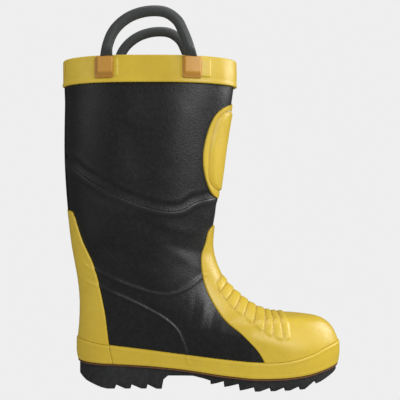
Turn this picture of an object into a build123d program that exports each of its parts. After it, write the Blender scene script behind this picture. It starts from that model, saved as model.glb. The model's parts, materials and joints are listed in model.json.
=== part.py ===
from build123d import *

import functools
import math
import os

import numpy as np

# Driving dimensions, in millimetres. +X is the toe, +Z is up, and -Y is the outer side of a right boot.
COLLAR_TOP = 370.0
COLLAR_BOTTOM = 340.0
SHELL = 3.0  # rubber wall
PLY = 2.0  # yellow covers
BAND = 2.8  # foxing and collar band
STAY = 1.4  # back stay
STAY_HALF = 9.0
STAY_BOTTOM = 200.0
STAY_FRONT = -60.0  # x of an upright plane ahead of the stay
BEAD_RISE = 0.8
BEAD_HEIGHT = 3.6
FOAM_OUT = 1.5
RIB_RISE = 0.4
WELT_HEIGHT = 1.6
SOLE_OUT = 1.2  # how far the outsole stands out past the rubber's face
STEEL_INSET = 1.5
FOOTBED_ROOM = 2.8
CEMENT = 0.2  # cement line between two bonded layers
LINING = 1.8
LINING_DEPTH = 6.0  # from the rubber's outer face to the lining's outer face
TOE_CAP = 1.8
REACH = 220.0  # half the side of a cutting block, wider than the boot
WIDTH = 90.0  # half the depth of a side-view cutter

# The sole's layers, as heights over the feather line, lowest first.
FILLER_TOP = 3.0
STEEL_TOP = 4.0
FELT_TOP = 6.2
BOARD_TOP = 8.4
SOCK_TOP = 10.4
FOOTBED_BOTTOM = 10.8
FOOTBED_TOP = 15.0

# Pull loops.
LOOP_RADIUS = 5.9
LOOP_CORE = 2.5
LOOP_Y = 56.0
LOOP_PIVOT_Z = 376.3
LOOP_GAP = 0.4
REAR_LOOP_X = -104.5
FRONT_LOOP_X = -12.0
LOOP_CORNERS = [
    (REAR_LOOP_X, LOOP_PIVOT_Z),
    (-96.5, 402.0),
    (-69.0, 417.0),
    (-36.0, 417.0),
    (FRONT_LOOP_X, LOOP_PIVOT_Z),
]
LOOP_BENDS = [34.0, 42.0, 30.0]
ROOT_BOTTOM = 350.0
TAB_BOTTOM = 344.5
TAB_TOP = 368.5
TAB_HALF = 10.5
REAR_TAB_X = -107.0
FRONT_TAB_X = -12.0
TAB_OUT = 8.6  # from the rubber's outer face to the tab's
ROOT_OUT = 6.4  # and to the flattened loop end's
ROOT_HALF = 7.0

# The boot's form is a stack of closed rings. Each ring has a back point and a front point (x, z), the
# share of the chord that its front and its back end round off over, how far it has left the foot's
# plan for the shaft's, and the shaft's half-width there.
STATIONS = [
    # back x, back z, front x, front z, front round, back round, shaft share, shaft half-width
    (-134.0, -6.0, 142.0, -10.0, 0.21, 0.112, 0.00, 36.5),
    (-136.0, 5.0, 147.0, 0.0, 0.21, 0.112, 0.00, 36.5),
    (-138.0, 16.0, 151.5, 10.0, 0.21, 0.112, 0.00, 36.5),
    (-140.0, 27.0, 154.8, 20.0, 0.21, 0.112, 0.00, 36.5),
    (-142.0, 36.0, 157.3, 31.0, 0.22, 0.114, 0.00, 36.5),
    (-142.3, 44.0, 157.4, 43.0, 0.24, 0.116, 0.00, 36.5),
    (-142.0, 51.0, 154.2, 53.4, 0.30, 0.118, 0.02, 36.5),
    (-141.3, 57.0, 148.7, 63.1, 0.40, 0.122, 0.08, 36.5),
    (-140.6, 62.5, 137.5, 71.6, 0.50, 0.128, 0.19, 36.5),
    (-140.1, 67.0, 120.5, 75.2, 0.56, 0.140, 0.26, 36.5),
    (-139.8, 71.0, 98.0, 76.4, 0.54, 0.155, 0.30, 36.5),
    (-139.5, 76.0, 77.0, 79.6, 0.51, 0.175, 0.34, 36.5),
    (-139.4, 83.0, 58.4, 87.2, 0.50, 0.200, 0.39, 36.6),
    (-139.6, 92.0, 42.0, 99.4, 0.50, 0.235, 0.47, 36.9),
    (-140.5, 104.0, 27.2, 114.4, 0.49, 0.280, 0.58, 37.4),
    (-142.4, 119.0, 16.8, 133.0, 0.47, 0.330, 0.71, 38.2),
    (-145.6, 138.0, 11.0, 154.6, 0.46, 0.375, 0.85, 39.4),
    (-149.3, 160.0, 11.8, 176.0, 0.43, 0.400, 0.94, 40.8),
    (-152.4, 184.0, 15.2, 196.0, 0.42, 0.415, 0.99, 42.2),
    (-155.2, 212.0, 18.2, 220.0, 0.42, 0.420, 1.00, 43.8),
    (-157.2, 252.0, 23.2, 256.0, 0.42, 0.420, 1.00, 46.0),
    (-157.6, 292.0, 29.0, 295.0, 0.42, 0.420, 1.00, 47.8),
    (-157.6, 323.0, 34.4, 325.0, 0.42, 0.420, 1.00, 48.9),
    (-157.8, 348.0, 37.2, 348.0, 0.42, 0.420, 1.00, 49.5),
    (-157.8, 368.0, 37.2, 368.0, 0.42, 0.420, 1.00, 49.5),
    (-157.8, 388.0, 37.2, 388.0, 0.42, 0.420, 1.00, 49.5),
]
# The foot's plan: its half-width along x, and how far the toe swings to the inner side.
FOOT_X = [-150.0, -110.0, -60.0, -20.0, 20.0, 55.0, 90.0, 125.0, 160.0]
FOOT_HALF = [33.0, 34.5, 34.0, 38.0, 45.0, 48.5, 47.0, 44.0, 41.0]
TOE_SWING = 8.0
SWING_FROM = 40.0
SWING_TO = 170.0
RING_POINTS = 30
TANGENT_STEP = 1e-3  # a small change of angle or ring, for the slopes of the form

# Side-view lines, as (x, z) points.
FEATHER = [
    (-200, 27.5), (-145, 27), (-100, 25.5), (-30, 21), (30, 14.5),
    (70, 11.7), (110, 13), (140, 17.5), (200, 30),
]
FOXING_TOP = [
    (-200, 57), (-145, 54), (-105, 48.8), (-25, 39.3), (60, 32),
    (95, 32.5), (124, 38.5), (142, 44.5), (200, 56),
]
PLY_LINE = [
    (-200, 272), (-154, 253), (-127, 234), (-97, 217), (-71, 206),
    (-45, 199), (-24, 199), (-3, 209), (40, 218),
]
HEEL_EDGE = [
    (-190, 206), (-155, 197.5), (-143, 182), (-135, 163),
    (-121, 133), (-109, 86), (-104, 50), (-96, 8),
]
VAMP_EDGE = [
    (60, 190), (14, 181), (3.2, 160), (-1.4, 139), (4.8, 109),
    (23, 79), (46, 60), (65.7, 37), (80, 0),
]
HEEL_SEAM = [(-108, 90), (-104, 50), (-99.5, 27), (-96, 0)]
SHIN_EDGE = [(60, 326), (34, 320), (14, 304), (2.4, 272), (1.6, 243), (11, 217), (30, 208), (60, 206)]
SHIN_DOME = [(60, 316), (27, 309), (13, 281), (9, 251), (11, 229), (26, 219), (60, 216)]

# Instep grooves, each from its lower rear end to the top of the instep, as (x, z).
GROOVES = [
    ((14.1, 114.5), (24.2, 126.1)),
    ((18.1, 103.7), (30.1, 117.2)),
    ((26.0, 95.0), (38.3, 109.0)),
    ((34.7, 84.8), (46.6, 102.3)),
    ((44.9, 77.9), (54.9, 95.9)),
    ((55.7, 70.5), (63.1, 89.9)),
    ((67.1, 62.6), (72.6, 84.6)),
    ((77.5, 57.4), (79.2, 81.7)),
    ((89.4, 53.4), (86.8, 80.5)),
]
GROOVE_HALF = 0.8
GROOVE_FLOOR = 1.2

# Tread: where each cleat ends, and how high its tip is. Heel cleats face the toe and the rest the heel.
HEEL_CLEATS = [-97.5, -80.0, -62.0, -45.0]
HEEL_DEPTH = 5.0
TOE_CLEATS = [
    (9.0, 7.0), (24.0, 4.5), (41.0, 1.0), (57.5, 0.0),
    (75.0, 0.0), (91.0, 0.0), (108.0, 0.0), (127.0, 4.5),
]
TOE_DEPTH = 4.0
TOE_LIFT = 1.2
CLEAT_FLAT = 6.0
HEEL_BACK = [(-170.0, 16.0), (-138.0, 11.5), (-131.0, 7.5), (-113.0, 1.6), (-106.0, 0.0)]
WAIST = [(-45.0, 9.0), (-38.0, 15.0), (-10.0, 15.6), (2.0, 13.0), (9.0, 11.0)]
TREAD_END = [(157.0, 15.0), (190.0, 24.0)]
CHANNEL_HALF = 3.5
CHANNEL_DEPTH = 3.0

# Edges of the inner pieces, in side view.
CAP_EDGE = [(150, 130), (99, 82), (96, 60), (92, 0)]
CAP_STRIP_EDGE = [(140, 130), (90, 84), (86, 60), (82, 0)]
COUNTER_EDGE = [(-190, 98), (-139, 92), (-110, 84), (-82, 62), (-68, 0)]
PAD_CENTRE = (-72.0, 112.0)
PAD_HALF_LENGTH = 26.0
PAD_HALF_HEIGHT = 20.0
FELT_SPLIT = 160.0  # between the shaft's felt and the foot's


def eased(share):
    """Turns 0 to 1 into a smooth rise with level ends."""
    held = np.clip(share, 0.0, 1.0)
    return held * held * (3.0 - 2.0 * held)


def along(table, place):
    """Catmull-Rom values of a table's rows at a real-valued row number."""
    rows = np.asarray(table, float)
    last = len(rows) - 1
    step = np.clip(np.floor(place).astype(int), 0, last - 1)
    part = (np.asarray(place, float) - step)[..., None]
    before, here = rows[np.maximum(step - 1, 0)], rows[step]
    there, after = rows[step + 1], rows[np.minimum(step + 2, last)]
    slope_in, slope_out = (there - before) / 2.0, (after - here) / 2.0
    square, cube = part**2, part**3
    return (
        (2 * cube - 3 * square + 1) * here
        + (cube - 2 * square + part) * slope_in
        + (3 * square - 2 * cube) * there
        + (cube - square) * slope_out
    )


def round_end(distance, radius):
    """An ellipse's quarter: 0 at the end of the chord, and 1 from radius onwards."""
    short = np.clip(1.0 - distance / radius, 0.0, 1.0)
    return np.sqrt(1.0 - short**2)


def form(theta, place):
    """Points of the rubber's outer face. theta is 0 at the front of a ring and pi at its back."""
    values = np.moveaxis(along(STATIONS, place), -1, 0)
    back_x, back_z, front_x, front_z, front_round, back_round, shaft, half = values
    share = (1.0 + np.cos(theta)) / 2.0
    x = back_x + share * (front_x - back_x)
    z = back_z + share * (front_z - back_z)
    chord = np.hypot(front_x - back_x, front_z - back_z)
    front_end = round_end(chord * (1.0 - share), chord * front_round)
    back_end = round_end(chord * share, chord * back_round)
    width = ((1.0 - shaft) * np.interp(x, FOOT_X, FOOT_HALF) + shaft * half) * front_end * back_end
    swing = TOE_SWING * eased((x - SWING_FROM) / (SWING_TO - SWING_FROM)) * (1.0 - shaft)
    return np.stack([x, swing - np.sign(np.sin(theta)) * width, z], -1)


def ring(place, offset):
    """One ring of points, moved out along the surface's normal."""
    theta = (np.arange(RING_POINTS) + 0.5) * 2.0 * math.pi / RING_POINTS
    last = len(STATIONS) - 1
    low, high = max(place - TANGENT_STEP, 0.0), min(place + TANGENT_STEP, last)
    where = np.full_like(theta, place)
    around = form(theta + TANGENT_STEP, where) - form(theta - TANGENT_STEP, where)
    up = form(theta, np.full_like(theta, high)) - form(theta, np.full_like(theta, low))
    normal = np.cross(up, around)
    if place in (0, last):
        chord = form(np.array([0.0]), where[:1])[0] - form(np.array([math.pi]), where[:1])[0]
        square_to_ring = np.cross(chord, (0.0, 1.0, 0.0))
        square_to_ring /= np.linalg.norm(square_to_ring)
        normal -= (normal @ square_to_ring)[:, None] * square_to_ring
    normal /= np.linalg.norm(normal, axis=1)[:, None]
    return form(theta, where) + offset * normal


@functools.lru_cache(maxsize=None)
def body(offset):
    """The boot's form as a solid, grown by offset, from under the sole to over the collar."""
    knots = [float(knot) for knot in range(RING_POINTS + 1)]
    wires = []
    for place in range(len(STATIONS)):
        points = [Vector(*point) for point in ring(float(place), offset)]
        wires.append(Wire([Edge.make_spline(points, periodic=True, parameters=knots)]))
    return Solid.make_loft(wires)


def side_points(points, rise=0.0):
    """Side-view points laid on the cutters' near plane."""
    return [Vector(x, -WIDTH, z + rise) for x, z in points]


def through(edges):
    """A cutter: a closed side-view outline pushed through the boot's whole width."""
    return Solid.extrude(Face(Wire(edges)), Vector(0, 2 * WIDTH, 0))


def band(low_line, low_rise, high_line, high_rise):
    """A cutter for all that lies between two side-view curves, each moved up by its rise."""
    low = Spline(side_points(low_line, low_rise))
    high = Spline(side_points(high_line, high_rise))
    ends = [Line(low @ 0, high @ 0), Line(low @ 1, high @ 1)]
    return through([low, high, *ends])


def above(line, rise=0.0):
    """A cutter for all that lies over a side-view curve."""
    left, right = line[0][0], line[-1][0]
    return band(line, rise, [(left, 2 * REACH), (right, 2 * REACH)], 0.0)


def slab(low, high):
    """A cutter for all between two heights."""
    return Solid.make_box(2 * REACH, 2 * WIDTH, high - low).moved(Location((-REACH, -WIDTH, low)))


def beyond(line, x):
    """A cutter for all between an open side-view curve and an upright line at x."""
    edge = Spline(side_points(line))
    corner_high = Vector(x, -WIDTH, line[0][1])
    corner_low = Vector(x, -WIDTH, line[-1][1])
    outline = Polyline(edge @ 0, corner_high, corner_low, edge @ 1)
    return through([edge, *outline.edges()])


def joined(shape):
    """A boolean's result as one compound of its solids."""
    parts = shape if isinstance(shape, list) else [shape]
    return Compound([solid for part in parts for solid in part.solids()])


def common(first, *others):
    """What solids share."""
    shared = first
    for other in others:
        shared = joined(shared & other)
    return shared


def without(first, *others):
    """A solid with others cut away."""
    left = first
    for other in others:
        left = joined(left - other)
    return left


def layer(outer, inner, *regions):
    """The skin between two offsets of the boot's form, inside every region."""
    return without(common(body(outer), *regions), body(inner))


def one_side(sign):
    """A cutter for the outer side (-1) or the inner side (1) of the boot."""
    corner = Location((-REACH, min(0.0, sign * WIDTH), -REACH))
    return Solid.make_box(2 * REACH, WIDTH, 4 * REACH).moved(corner)


def sole_slab(low, high):
    """A cutter for a layer of the sole, by its heights over the feather line."""
    return band(FEATHER, low, FEATHER, high)


def shaft_shell():
    """The rubber of the shaft, down to the ply line over the ankle."""
    return layer(0.0, -SHELL, above(PLY_LINE, CEMENT / 2), slab(0.0, COLLAR_TOP - SHELL - CEMENT))


def foot_shell():
    """The rubber of the foot and ankle, from the feather line to the ply line."""
    return layer(0.0, -SHELL, band(FEATHER, 0.0, PLY_LINE, -CEMENT / 2))


def back_stay():
    """The strip over the back seam, from the heel strip to the collar."""
    corner = Location((STAY_FRONT - REACH, -STAY_HALF, 0))
    strip = Solid.make_box(REACH, 2 * STAY_HALF, 2 * REACH).moved(corner)
    return layer(STAY, CEMENT, strip, slab(STAY_BOTTOM, COLLAR_BOTTOM - CEMENT))


def collar_band():
    """The yellow band, with a bead along its lower edge, rolled in over the rubber's cut edge."""
    wall = common(body(BAND), slab(COLLAR_BOTTOM, COLLAR_TOP))
    bead = common(body(BAND + BEAD_RISE), slab(COLLAR_BOTTOM, COLLAR_BOTTOM + BEAD_HEIGHT))
    inside = common(body(CEMENT), slab(0.0, COLLAR_TOP - SHELL))
    return without(joined(wall + bead), inside, body(-LINING_DEPTH + CEMENT))


def tab_block(x, half, low, high):
    """A cutter for a piece of the collar round one end of a loop."""
    corner = Location((x - half, -WIDTH, low))
    return Solid.make_box(2 * half, 2 * WIDTH, high - low).moved(corner)


def handle_tab(sign, x, loop_x):
    """A patch over the flattened end of a loop."""
    patch = layer(TAB_OUT, BAND + CEMENT, tab_block(x, TAB_HALF, TAB_BOTTOM, TAB_TOP), one_side(sign))
    room = tab_block(loop_x, ROOT_HALF + CEMENT, ROOT_BOTTOM - CEMENT, COLLAR_TOP)
    return without(patch, common(body(ROOT_OUT + CEMENT), room))


def handle_roots(sign):
    """The two flattened ends of a loop, each with the round foot that stands over its tab."""
    roots = []
    foot_low = TAB_TOP + CEMENT
    foot_high = LOOP_PIVOT_Z - LOOP_RADIUS - LOOP_GAP
    for x in (REAR_LOOP_X, FRONT_LOOP_X):
        block = tab_block(x, ROOT_HALF, ROOT_BOTTOM, foot_high)
        tongue = layer(ROOT_OUT, BAND + 2 * CEMENT, block, one_side(sign))
        base = Plane((x, sign * LOOP_Y, foot_low))
        foot = Solid.make_cylinder(LOOP_RADIUS, foot_high - foot_low, base)
        roots.append(joined(tongue + foot))
    return joined(roots[0] + roots[1])


def loop_path(sign):
    """The centre line of a loop: straight runs and tangent arcs."""
    corners = [Vector(x, sign * LOOP_Y, z) for x, z in LOOP_CORNERS]
    return FilletPolyline(*corners, radius=LOOP_BENDS, close=False)


def tube(path, radius):
    """A round bar along a path."""
    section = Plane(path @ 0, z_dir=path % 0) * Circle(radius)
    return sweep(section, path=path).solid()


def handle_core(sign):
    """The cord inside a loop."""
    return tube(loop_path(sign), LOOP_CORE)


def handle(sign):
    """A rubber loop, with rounded ends that turn over its two feet."""
    path = loop_path(sign)
    loop = tube(path, LOOP_RADIUS)
    for end in (path @ 0, path @ 1):
        loop = loop + Solid.make_sphere(LOOP_RADIUS).moved(Location(end))
    return without(loop, tube(path, LOOP_CORE + CEMENT / 2))


def shin_region():
    """The shin guard's lens outline, pushed through the boot."""
    return beyond(SHIN_EDGE, REACH)


def shin_foam():
    """The padding under the shin guard's dome."""
    return layer(FOAM_OUT, CEMENT, beyond(SHIN_DOME, REACH))


def shin_guard():
    """The yellow cover on the shin, thicker over its padding."""
    rim = common(body(PLY), shin_region())
    dome = common(body(FOAM_OUT + CEMENT + PLY), beyond(SHIN_DOME, REACH))
    pocket = common(body(FOAM_OUT + CEMENT), beyond(SHIN_DOME, REACH))
    return without(joined(rim + dome), pocket, body(CEMENT))


def heel_strip():
    """The yellow strip up the back of the heel."""
    region = beyond(HEEL_EDGE, -REACH)
    return layer(PLY, CEMENT, region, above(FOXING_TOP, CEMENT))


def groove_cutters():
    """Thin blocks along the instep grooves, from the side to past the top of the instep."""
    blocks = []
    for (x0, z0), (x1, z1) in GROOVES:
        run = Vector(x1 - x0, 0, z1 - z0)
        across = run.cross(Vector(0, 1, 0)).normalized() * GROOVE_HALF
        start = Vector(x0, -WIDTH, z0)
        end = start + run * 2
        outline = Polyline(start + across, end + across, end - across, start - across, close=True)
        blocks.append(through(outline.edges()))
    return blocks


def vamp_guard():
    """The yellow cover of the instep and toe, with grooves between its ribs."""
    cover = layer(PLY + RIB_RISE, CEMENT, beyond(VAMP_EDGE, REACH), above(FOXING_TOP, CEMENT))
    grooves = without(Compound(groove_cutters()), body(GROOVE_FLOOR))
    return without(cover, grooves)


def foxing_region():
    """The foxing's height, over the feather line."""
    return band(FEATHER, WELT_HEIGHT + CEMENT, FOXING_TOP, 0.0)


def foxing_band():
    """The yellow band round the foot, in front of the heel seam."""
    return without(layer(BAND, CEMENT, foxing_region()), beyond(HEEL_SEAM, -REACH))


def heel_foxing():
    """The yellow band round the heel."""
    seam = [(x - CEMENT, z) for x, z in HEEL_SEAM]
    return layer(BAND, CEMENT, foxing_region(), beyond(seam, -REACH))


def welt_line():
    """The thin rust-brown line between the foxing and the outsole."""
    return layer(BAND + CEMENT, CEMENT, sole_slab(CEMENT, WELT_HEIGHT))


def tread_line():
    """The outsole's lower side-view outline, from the heel's back to the toe."""
    points = list(HEEL_BACK)
    previous = points[-1][0]
    for x in HEEL_CLEATS:
        points += [(max(previous + CLEAT_FLAT, x - CLEAT_FLAT), 0.0), (x, 0.0), (x, HEEL_DEPTH)]
        previous = x
    points += WAIST
    for place, (x, tip) in enumerate(TOE_CLEATS):
        points += [(x, tip), (x + CLEAT_FLAT, tip + TOE_LIFT if tip else 0.0)]
        for next_x, next_tip in TOE_CLEATS[place + 1 : place + 2]:
            points.append((next_x, max(tip, next_tip) + TOE_DEPTH))
    return points + TREAD_END


def outsole():
    """The cleated rubber sole and heel, with a channel along the middle of its tread."""
    tread = Polyline(side_points(tread_line()))
    feather = Spline(side_points(FEATHER))
    ends = [Line(tread @ 0, feather @ 0), Line(tread @ 1, feather @ 1)]
    block = common(body(SOLE_OUT), through([*tread.edges(), feather, *ends]))
    channel = Polyline(side_points(tread_line(), CHANNEL_DEPTH))
    floor = Polyline(channel @ 0, (-REACH, -WIDTH, -REACH), (REACH, -WIDTH, -REACH), channel @ 1)
    under = through([*channel.edges(), *floor.edges()])
    corner = Location((-REACH, -CHANNEL_HALF, -REACH / 2))
    middle = Solid.make_box(2 * REACH, 2 * CHANNEL_HALF, REACH).moved(corner)
    return without(block, common(under, middle))


def sole_layer(inset, low, high):
    """A flat layer inside the shell, over the outsole."""
    return common(body(-inset), sole_slab(low, high))


def sole_filler():
    """The cork-like filler on the outsole."""
    return sole_layer(SHELL + CEMENT, CEMENT, FILLER_TOP)


def steel_midsole():
    """The steel plate that stops nails."""
    return sole_layer(SHELL + STEEL_INSET, FILLER_TOP + CEMENT, STEEL_TOP)


def insulation_felt():
    """The felt over the plate."""
    return sole_layer(SHELL + CEMENT, STEEL_TOP + CEMENT, FELT_TOP)


def insole_board():
    """The board that the sock is lasted over."""
    return sole_layer(SHELL + CEMENT, FELT_TOP + CEMENT, BOARD_TOP)


def lining():
    """The textile sock, closed under the foot and open at the collar."""
    height = slab(0.0, COLLAR_TOP - CEMENT)
    outside = common(body(-LINING_DEPTH), above(FEATHER, BOARD_TOP + CEMENT), height)
    inside = common(body(-LINING_DEPTH - LINING), above(FEATHER, SOCK_TOP))
    return without(outside, inside)


def padding(*regions):
    """A piece of the layer between the rubber and the lining."""
    over_board = above(FEATHER, BOARD_TOP + CEMENT)
    return layer(-SHELL - CEMENT, -LINING_DEPTH + CEMENT, over_board, *regions)


def ankle_oval():
    """A cutter the shape of the ankle pads."""
    centre = Plane((PAD_CENTRE[0], -WIDTH, PAD_CENTRE[1]), x_dir=(1, 0, 0), z_dir=(0, -1, 0))
    oval = centre * Ellipse(PAD_HALF_LENGTH, PAD_HALF_HEIGHT)
    return Solid.extrude(oval.face(), Vector(0, 2 * WIDTH, 0))


def steel_toe_cap():
    """The steel cap over the toes."""
    outside = -SHELL - CEMENT
    over_board = above(FEATHER, BOARD_TOP + CEMENT)
    return layer(outside, outside - TOE_CAP, over_board, beyond(CAP_EDGE, REACH))


def toe_cap_edge():
    """The soft strip behind the cap's rim."""
    cap = beyond([(x - CEMENT, z) for x, z in CAP_EDGE], REACH)
    return without(padding(beyond(CAP_STRIP_EDGE, REACH)), cap)


def heel_counter():
    """The stiffener round the heel."""
    return padding(beyond(COUNTER_EDGE, -REACH))


def collar_tape():
    """The binding tape behind the collar, between the rubber and the lining."""
    return padding(slab(COLLAR_BOTTOM, COLLAR_TOP - SHELL - 2 * CEMENT))


def shaft_interlining():
    """The felt up the shaft."""
    return padding(slab(FELT_SPLIT, COLLAR_BOTTOM - CEMENT))


def foot_interlining():
    """The felt round the foot, between the cap, the counter and the ankle pads."""
    felt = padding(slab(0.0, FELT_SPLIT - CEMENT))
    cap = beyond([(x - CEMENT, z) for x, z in CAP_STRIP_EDGE], REACH)
    counter = beyond([(x + CEMENT, z + CEMENT) for x, z in COUNTER_EDGE], -REACH)
    return without(felt, cap, counter, ankle_oval())


def ankle_pad(sign):
    """Foam over one ankle bone."""
    return common(padding(ankle_oval()), one_side(sign))


def insole():
    """The loose footbed."""
    inset = LINING_DEPTH + LINING + FOOTBED_ROOM
    return sole_layer(inset, FOOTBED_BOTTOM, FOOTBED_TOP)


def nodes():
    """Every piece of the boot by its name."""
    makers = [
        shaft_shell,
        foot_shell,
        back_stay,
        collar_band,
        collar_tape,
        shaft_interlining,
        foot_interlining,
        shin_guard,
        shin_foam,
        heel_strip,
        vamp_guard,
        foxing_band,
        heel_foxing,
        welt_line,
        outsole,
        sole_filler,
        steel_midsole,
        insulation_felt,
        insole_board,
        lining,
        insole,
        steel_toe_cap,
        toe_cap_edge,
        heel_counter,
    ]
    pieces = {maker.__name__: maker() for maker in makers}
    for side, sign in (("lateral", -1), ("medial", 1)):
        pieces[f"{side}_handle"] = handle(sign)
        pieces[f"{side}_handle_core"] = handle_core(sign)
        pieces[f"{side}_handle_roots"] = handle_roots(sign)
        pieces[f"{side}_rear_tab"] = handle_tab(sign, REAR_TAB_X, REAR_LOOP_X)
        pieces[f"{side}_front_tab"] = handle_tab(sign, FRONT_TAB_X, FRONT_LOOP_X)
        pieces[f"{side}_ankle_pad"] = ankle_pad(sign)
    return pieces


os.makedirs("parts", exist_ok=True)
for name, piece in nodes().items():
    export_step(Compound(piece.solids()), f"parts/{name}.step")
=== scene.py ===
"""A rubber fire boot: its visible pieces and their finishes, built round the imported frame.

Shapes are worked out in millimetres and put into meshes in metres. +X is the toe, +Z is up, and -Y is
the outer side of this right boot.
"""

import json
import logging
import math
from collections.abc import Callable, Sequence
from dataclasses import dataclass, field
from enum import Enum

import bpy
import numpy as np
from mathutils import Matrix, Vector


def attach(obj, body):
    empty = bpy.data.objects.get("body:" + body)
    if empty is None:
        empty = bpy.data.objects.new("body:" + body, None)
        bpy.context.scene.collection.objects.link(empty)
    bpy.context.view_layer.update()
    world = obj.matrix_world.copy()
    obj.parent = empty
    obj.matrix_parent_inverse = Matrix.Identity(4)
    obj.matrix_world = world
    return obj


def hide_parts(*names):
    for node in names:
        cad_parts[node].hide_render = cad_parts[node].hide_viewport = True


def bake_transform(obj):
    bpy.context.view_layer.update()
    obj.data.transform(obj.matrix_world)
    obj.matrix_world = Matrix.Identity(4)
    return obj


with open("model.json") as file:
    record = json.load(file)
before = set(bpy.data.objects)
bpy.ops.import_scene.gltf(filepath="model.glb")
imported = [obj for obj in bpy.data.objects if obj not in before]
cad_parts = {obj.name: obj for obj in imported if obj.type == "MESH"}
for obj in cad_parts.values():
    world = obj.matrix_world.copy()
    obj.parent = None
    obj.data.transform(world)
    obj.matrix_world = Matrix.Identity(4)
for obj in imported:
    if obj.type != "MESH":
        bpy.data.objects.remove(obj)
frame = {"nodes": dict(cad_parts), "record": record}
log = logging.getLogger("fire_boot")

MM = 0.001
TURN = 2.0 * math.pi
CRISP_EDGE = math.radians(50.0)
POLE_SHARE = 0.02
Array = np.ndarray
Point = tuple[float, float]


class Side(Enum):
    """The two sides of the boot, as the sign of y there."""

    LATERAL = -1
    MEDIAL = 1

    @property
    def label(self) -> str:
        """The side's name in lower case."""
        return self.name.lower()


# --------------------------------------------------------------------------------------- mathematics


def eased(share: Array | float) -> Array:
    """Turns 0 to 1 into a smooth rise with level ends: 3 t squared less 2 t cubed."""
    held = np.clip(share, 0.0, 1.0)
    return held * held * (3.0 - 2.0 * held)


def ridge(distance: Array, width: float) -> Array:
    """A soft bump: e to the minus square of distance over width."""
    return np.exp(-((distance / width) ** 2))


def rim(distance: Array, radius: float) -> Array:
    """A quarter circle's rise from 0 at an edge to 1 at radius from it."""
    short = np.clip(1.0 - distance / radius, 0.0, 1.0)
    return np.sqrt(1.0 - short**2)


def along(table: Sequence | Array, place: Array) -> Array:
    """Values between a table's rows, by Catmull-Rom cubics.

    Args:
        table: Rows of numbers, one for each whole place.
        place: Real-valued row numbers.

    Returns:
        One row of values for each place.
    """
    rows = np.asarray(table, float)
    last = len(rows) - 1
    step = np.clip(np.floor(place).astype(int), 0, last - 1)
    part = (np.asarray(place, float) - step)[..., None]
    before, here = rows[np.maximum(step - 1, 0)], rows[step]
    there, after = rows[step + 1], rows[np.minimum(step + 2, last)]
    slope_in, slope_out = (there - before) / 2.0, (after - here) / 2.0
    square, cube = part**2, part**3
    return (
        (2 * cube - 3 * square + 1) * here
        + (cube - 2 * square + part) * slope_in
        + (3 * square - 2 * cube) * there
        + (cube - square) * slope_out
    )


def solve(too_low: Callable[[Array], Array], low: Array, high: Array, rounds: int = 30) -> Array:
    """Finds where a test turns from true to false, by halving whole arrays of spans.

    Args:
        too_low: Says for each value whether the answer lies above it.
        low: Lowest values the answers may have.
        high: Highest values the answers may have.
        rounds: How many times each span is halved.

    Returns:
        The middle of each last span.
    """
    for _ in range(rounds):
        middle = (low + high) / 2.0
        rising = too_low(middle)
        low, high = np.where(rising, middle, low), np.where(rising, high, middle)
    return (low + high) / 2.0


def spaced(low: float, high: float, count: int, border: Sequence[float] = ()) -> Array:
    """Even steps from low to high, with extra values at the given distances inside both ends.

    Args:
        low: The lowest value.
        high: The highest value.
        count: Even steps between the borders.
        border: Distances of the extra values from an end, smallest first.

    Returns:
        The values, lowest first.
    """
    inner = border[-1] if border else 0.0
    middle = np.linspace(low + inner, high - inner, count)
    start = low + np.asarray(border[:-1])
    return np.concatenate([start, middle, (high + low - start)[::-1]])


@dataclass(frozen=True)
class SideLine:
    """A smooth curve in side view through a few (x, z) points."""

    points: tuple[Point, ...]

    def dense(self) -> tuple[Array, Array]:
        """The curve's x and z at close, even steps.

        Returns:
            The x values and the z values.
        """
        steps = np.linspace(0.0, len(self.points) - 1.0, 60 * len(self.points))
        values = along(self.points, steps)
        return values[:, 0], values[:, 1]

    def z_at(self, x: Array) -> Array:
        """Height of a curve that runs from back to front.

        Args:
            x: Places along the boot.

        Returns:
            The height over each place.
        """
        xs, zs = self.dense()
        order = np.argsort(xs)
        return np.interp(x, xs[order], zs[order])

    def x_at(self, z: Array) -> Array:
        """Place along x of a curve that runs up or down.

        Args:
            z: Heights.

        Returns:
            The place along x at each height.
        """
        xs, zs = self.dense()
        order = np.argsort(zs)
        return np.interp(z, zs[order], xs[order])

    def above(self, x: Array, z: Array) -> Array:
        """How far points stand over a curve from back to front, square to its run.

        Args:
            x: Places along the boot.
            z: Heights there.

        Returns:
            Distances, negative under the curve.
        """
        step = 1.0
        slope = (self.z_at(x + step) - self.z_at(x - step)) / (2.0 * step)
        return (z - self.z_at(x)) / np.sqrt(1.0 + slope**2)


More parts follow.
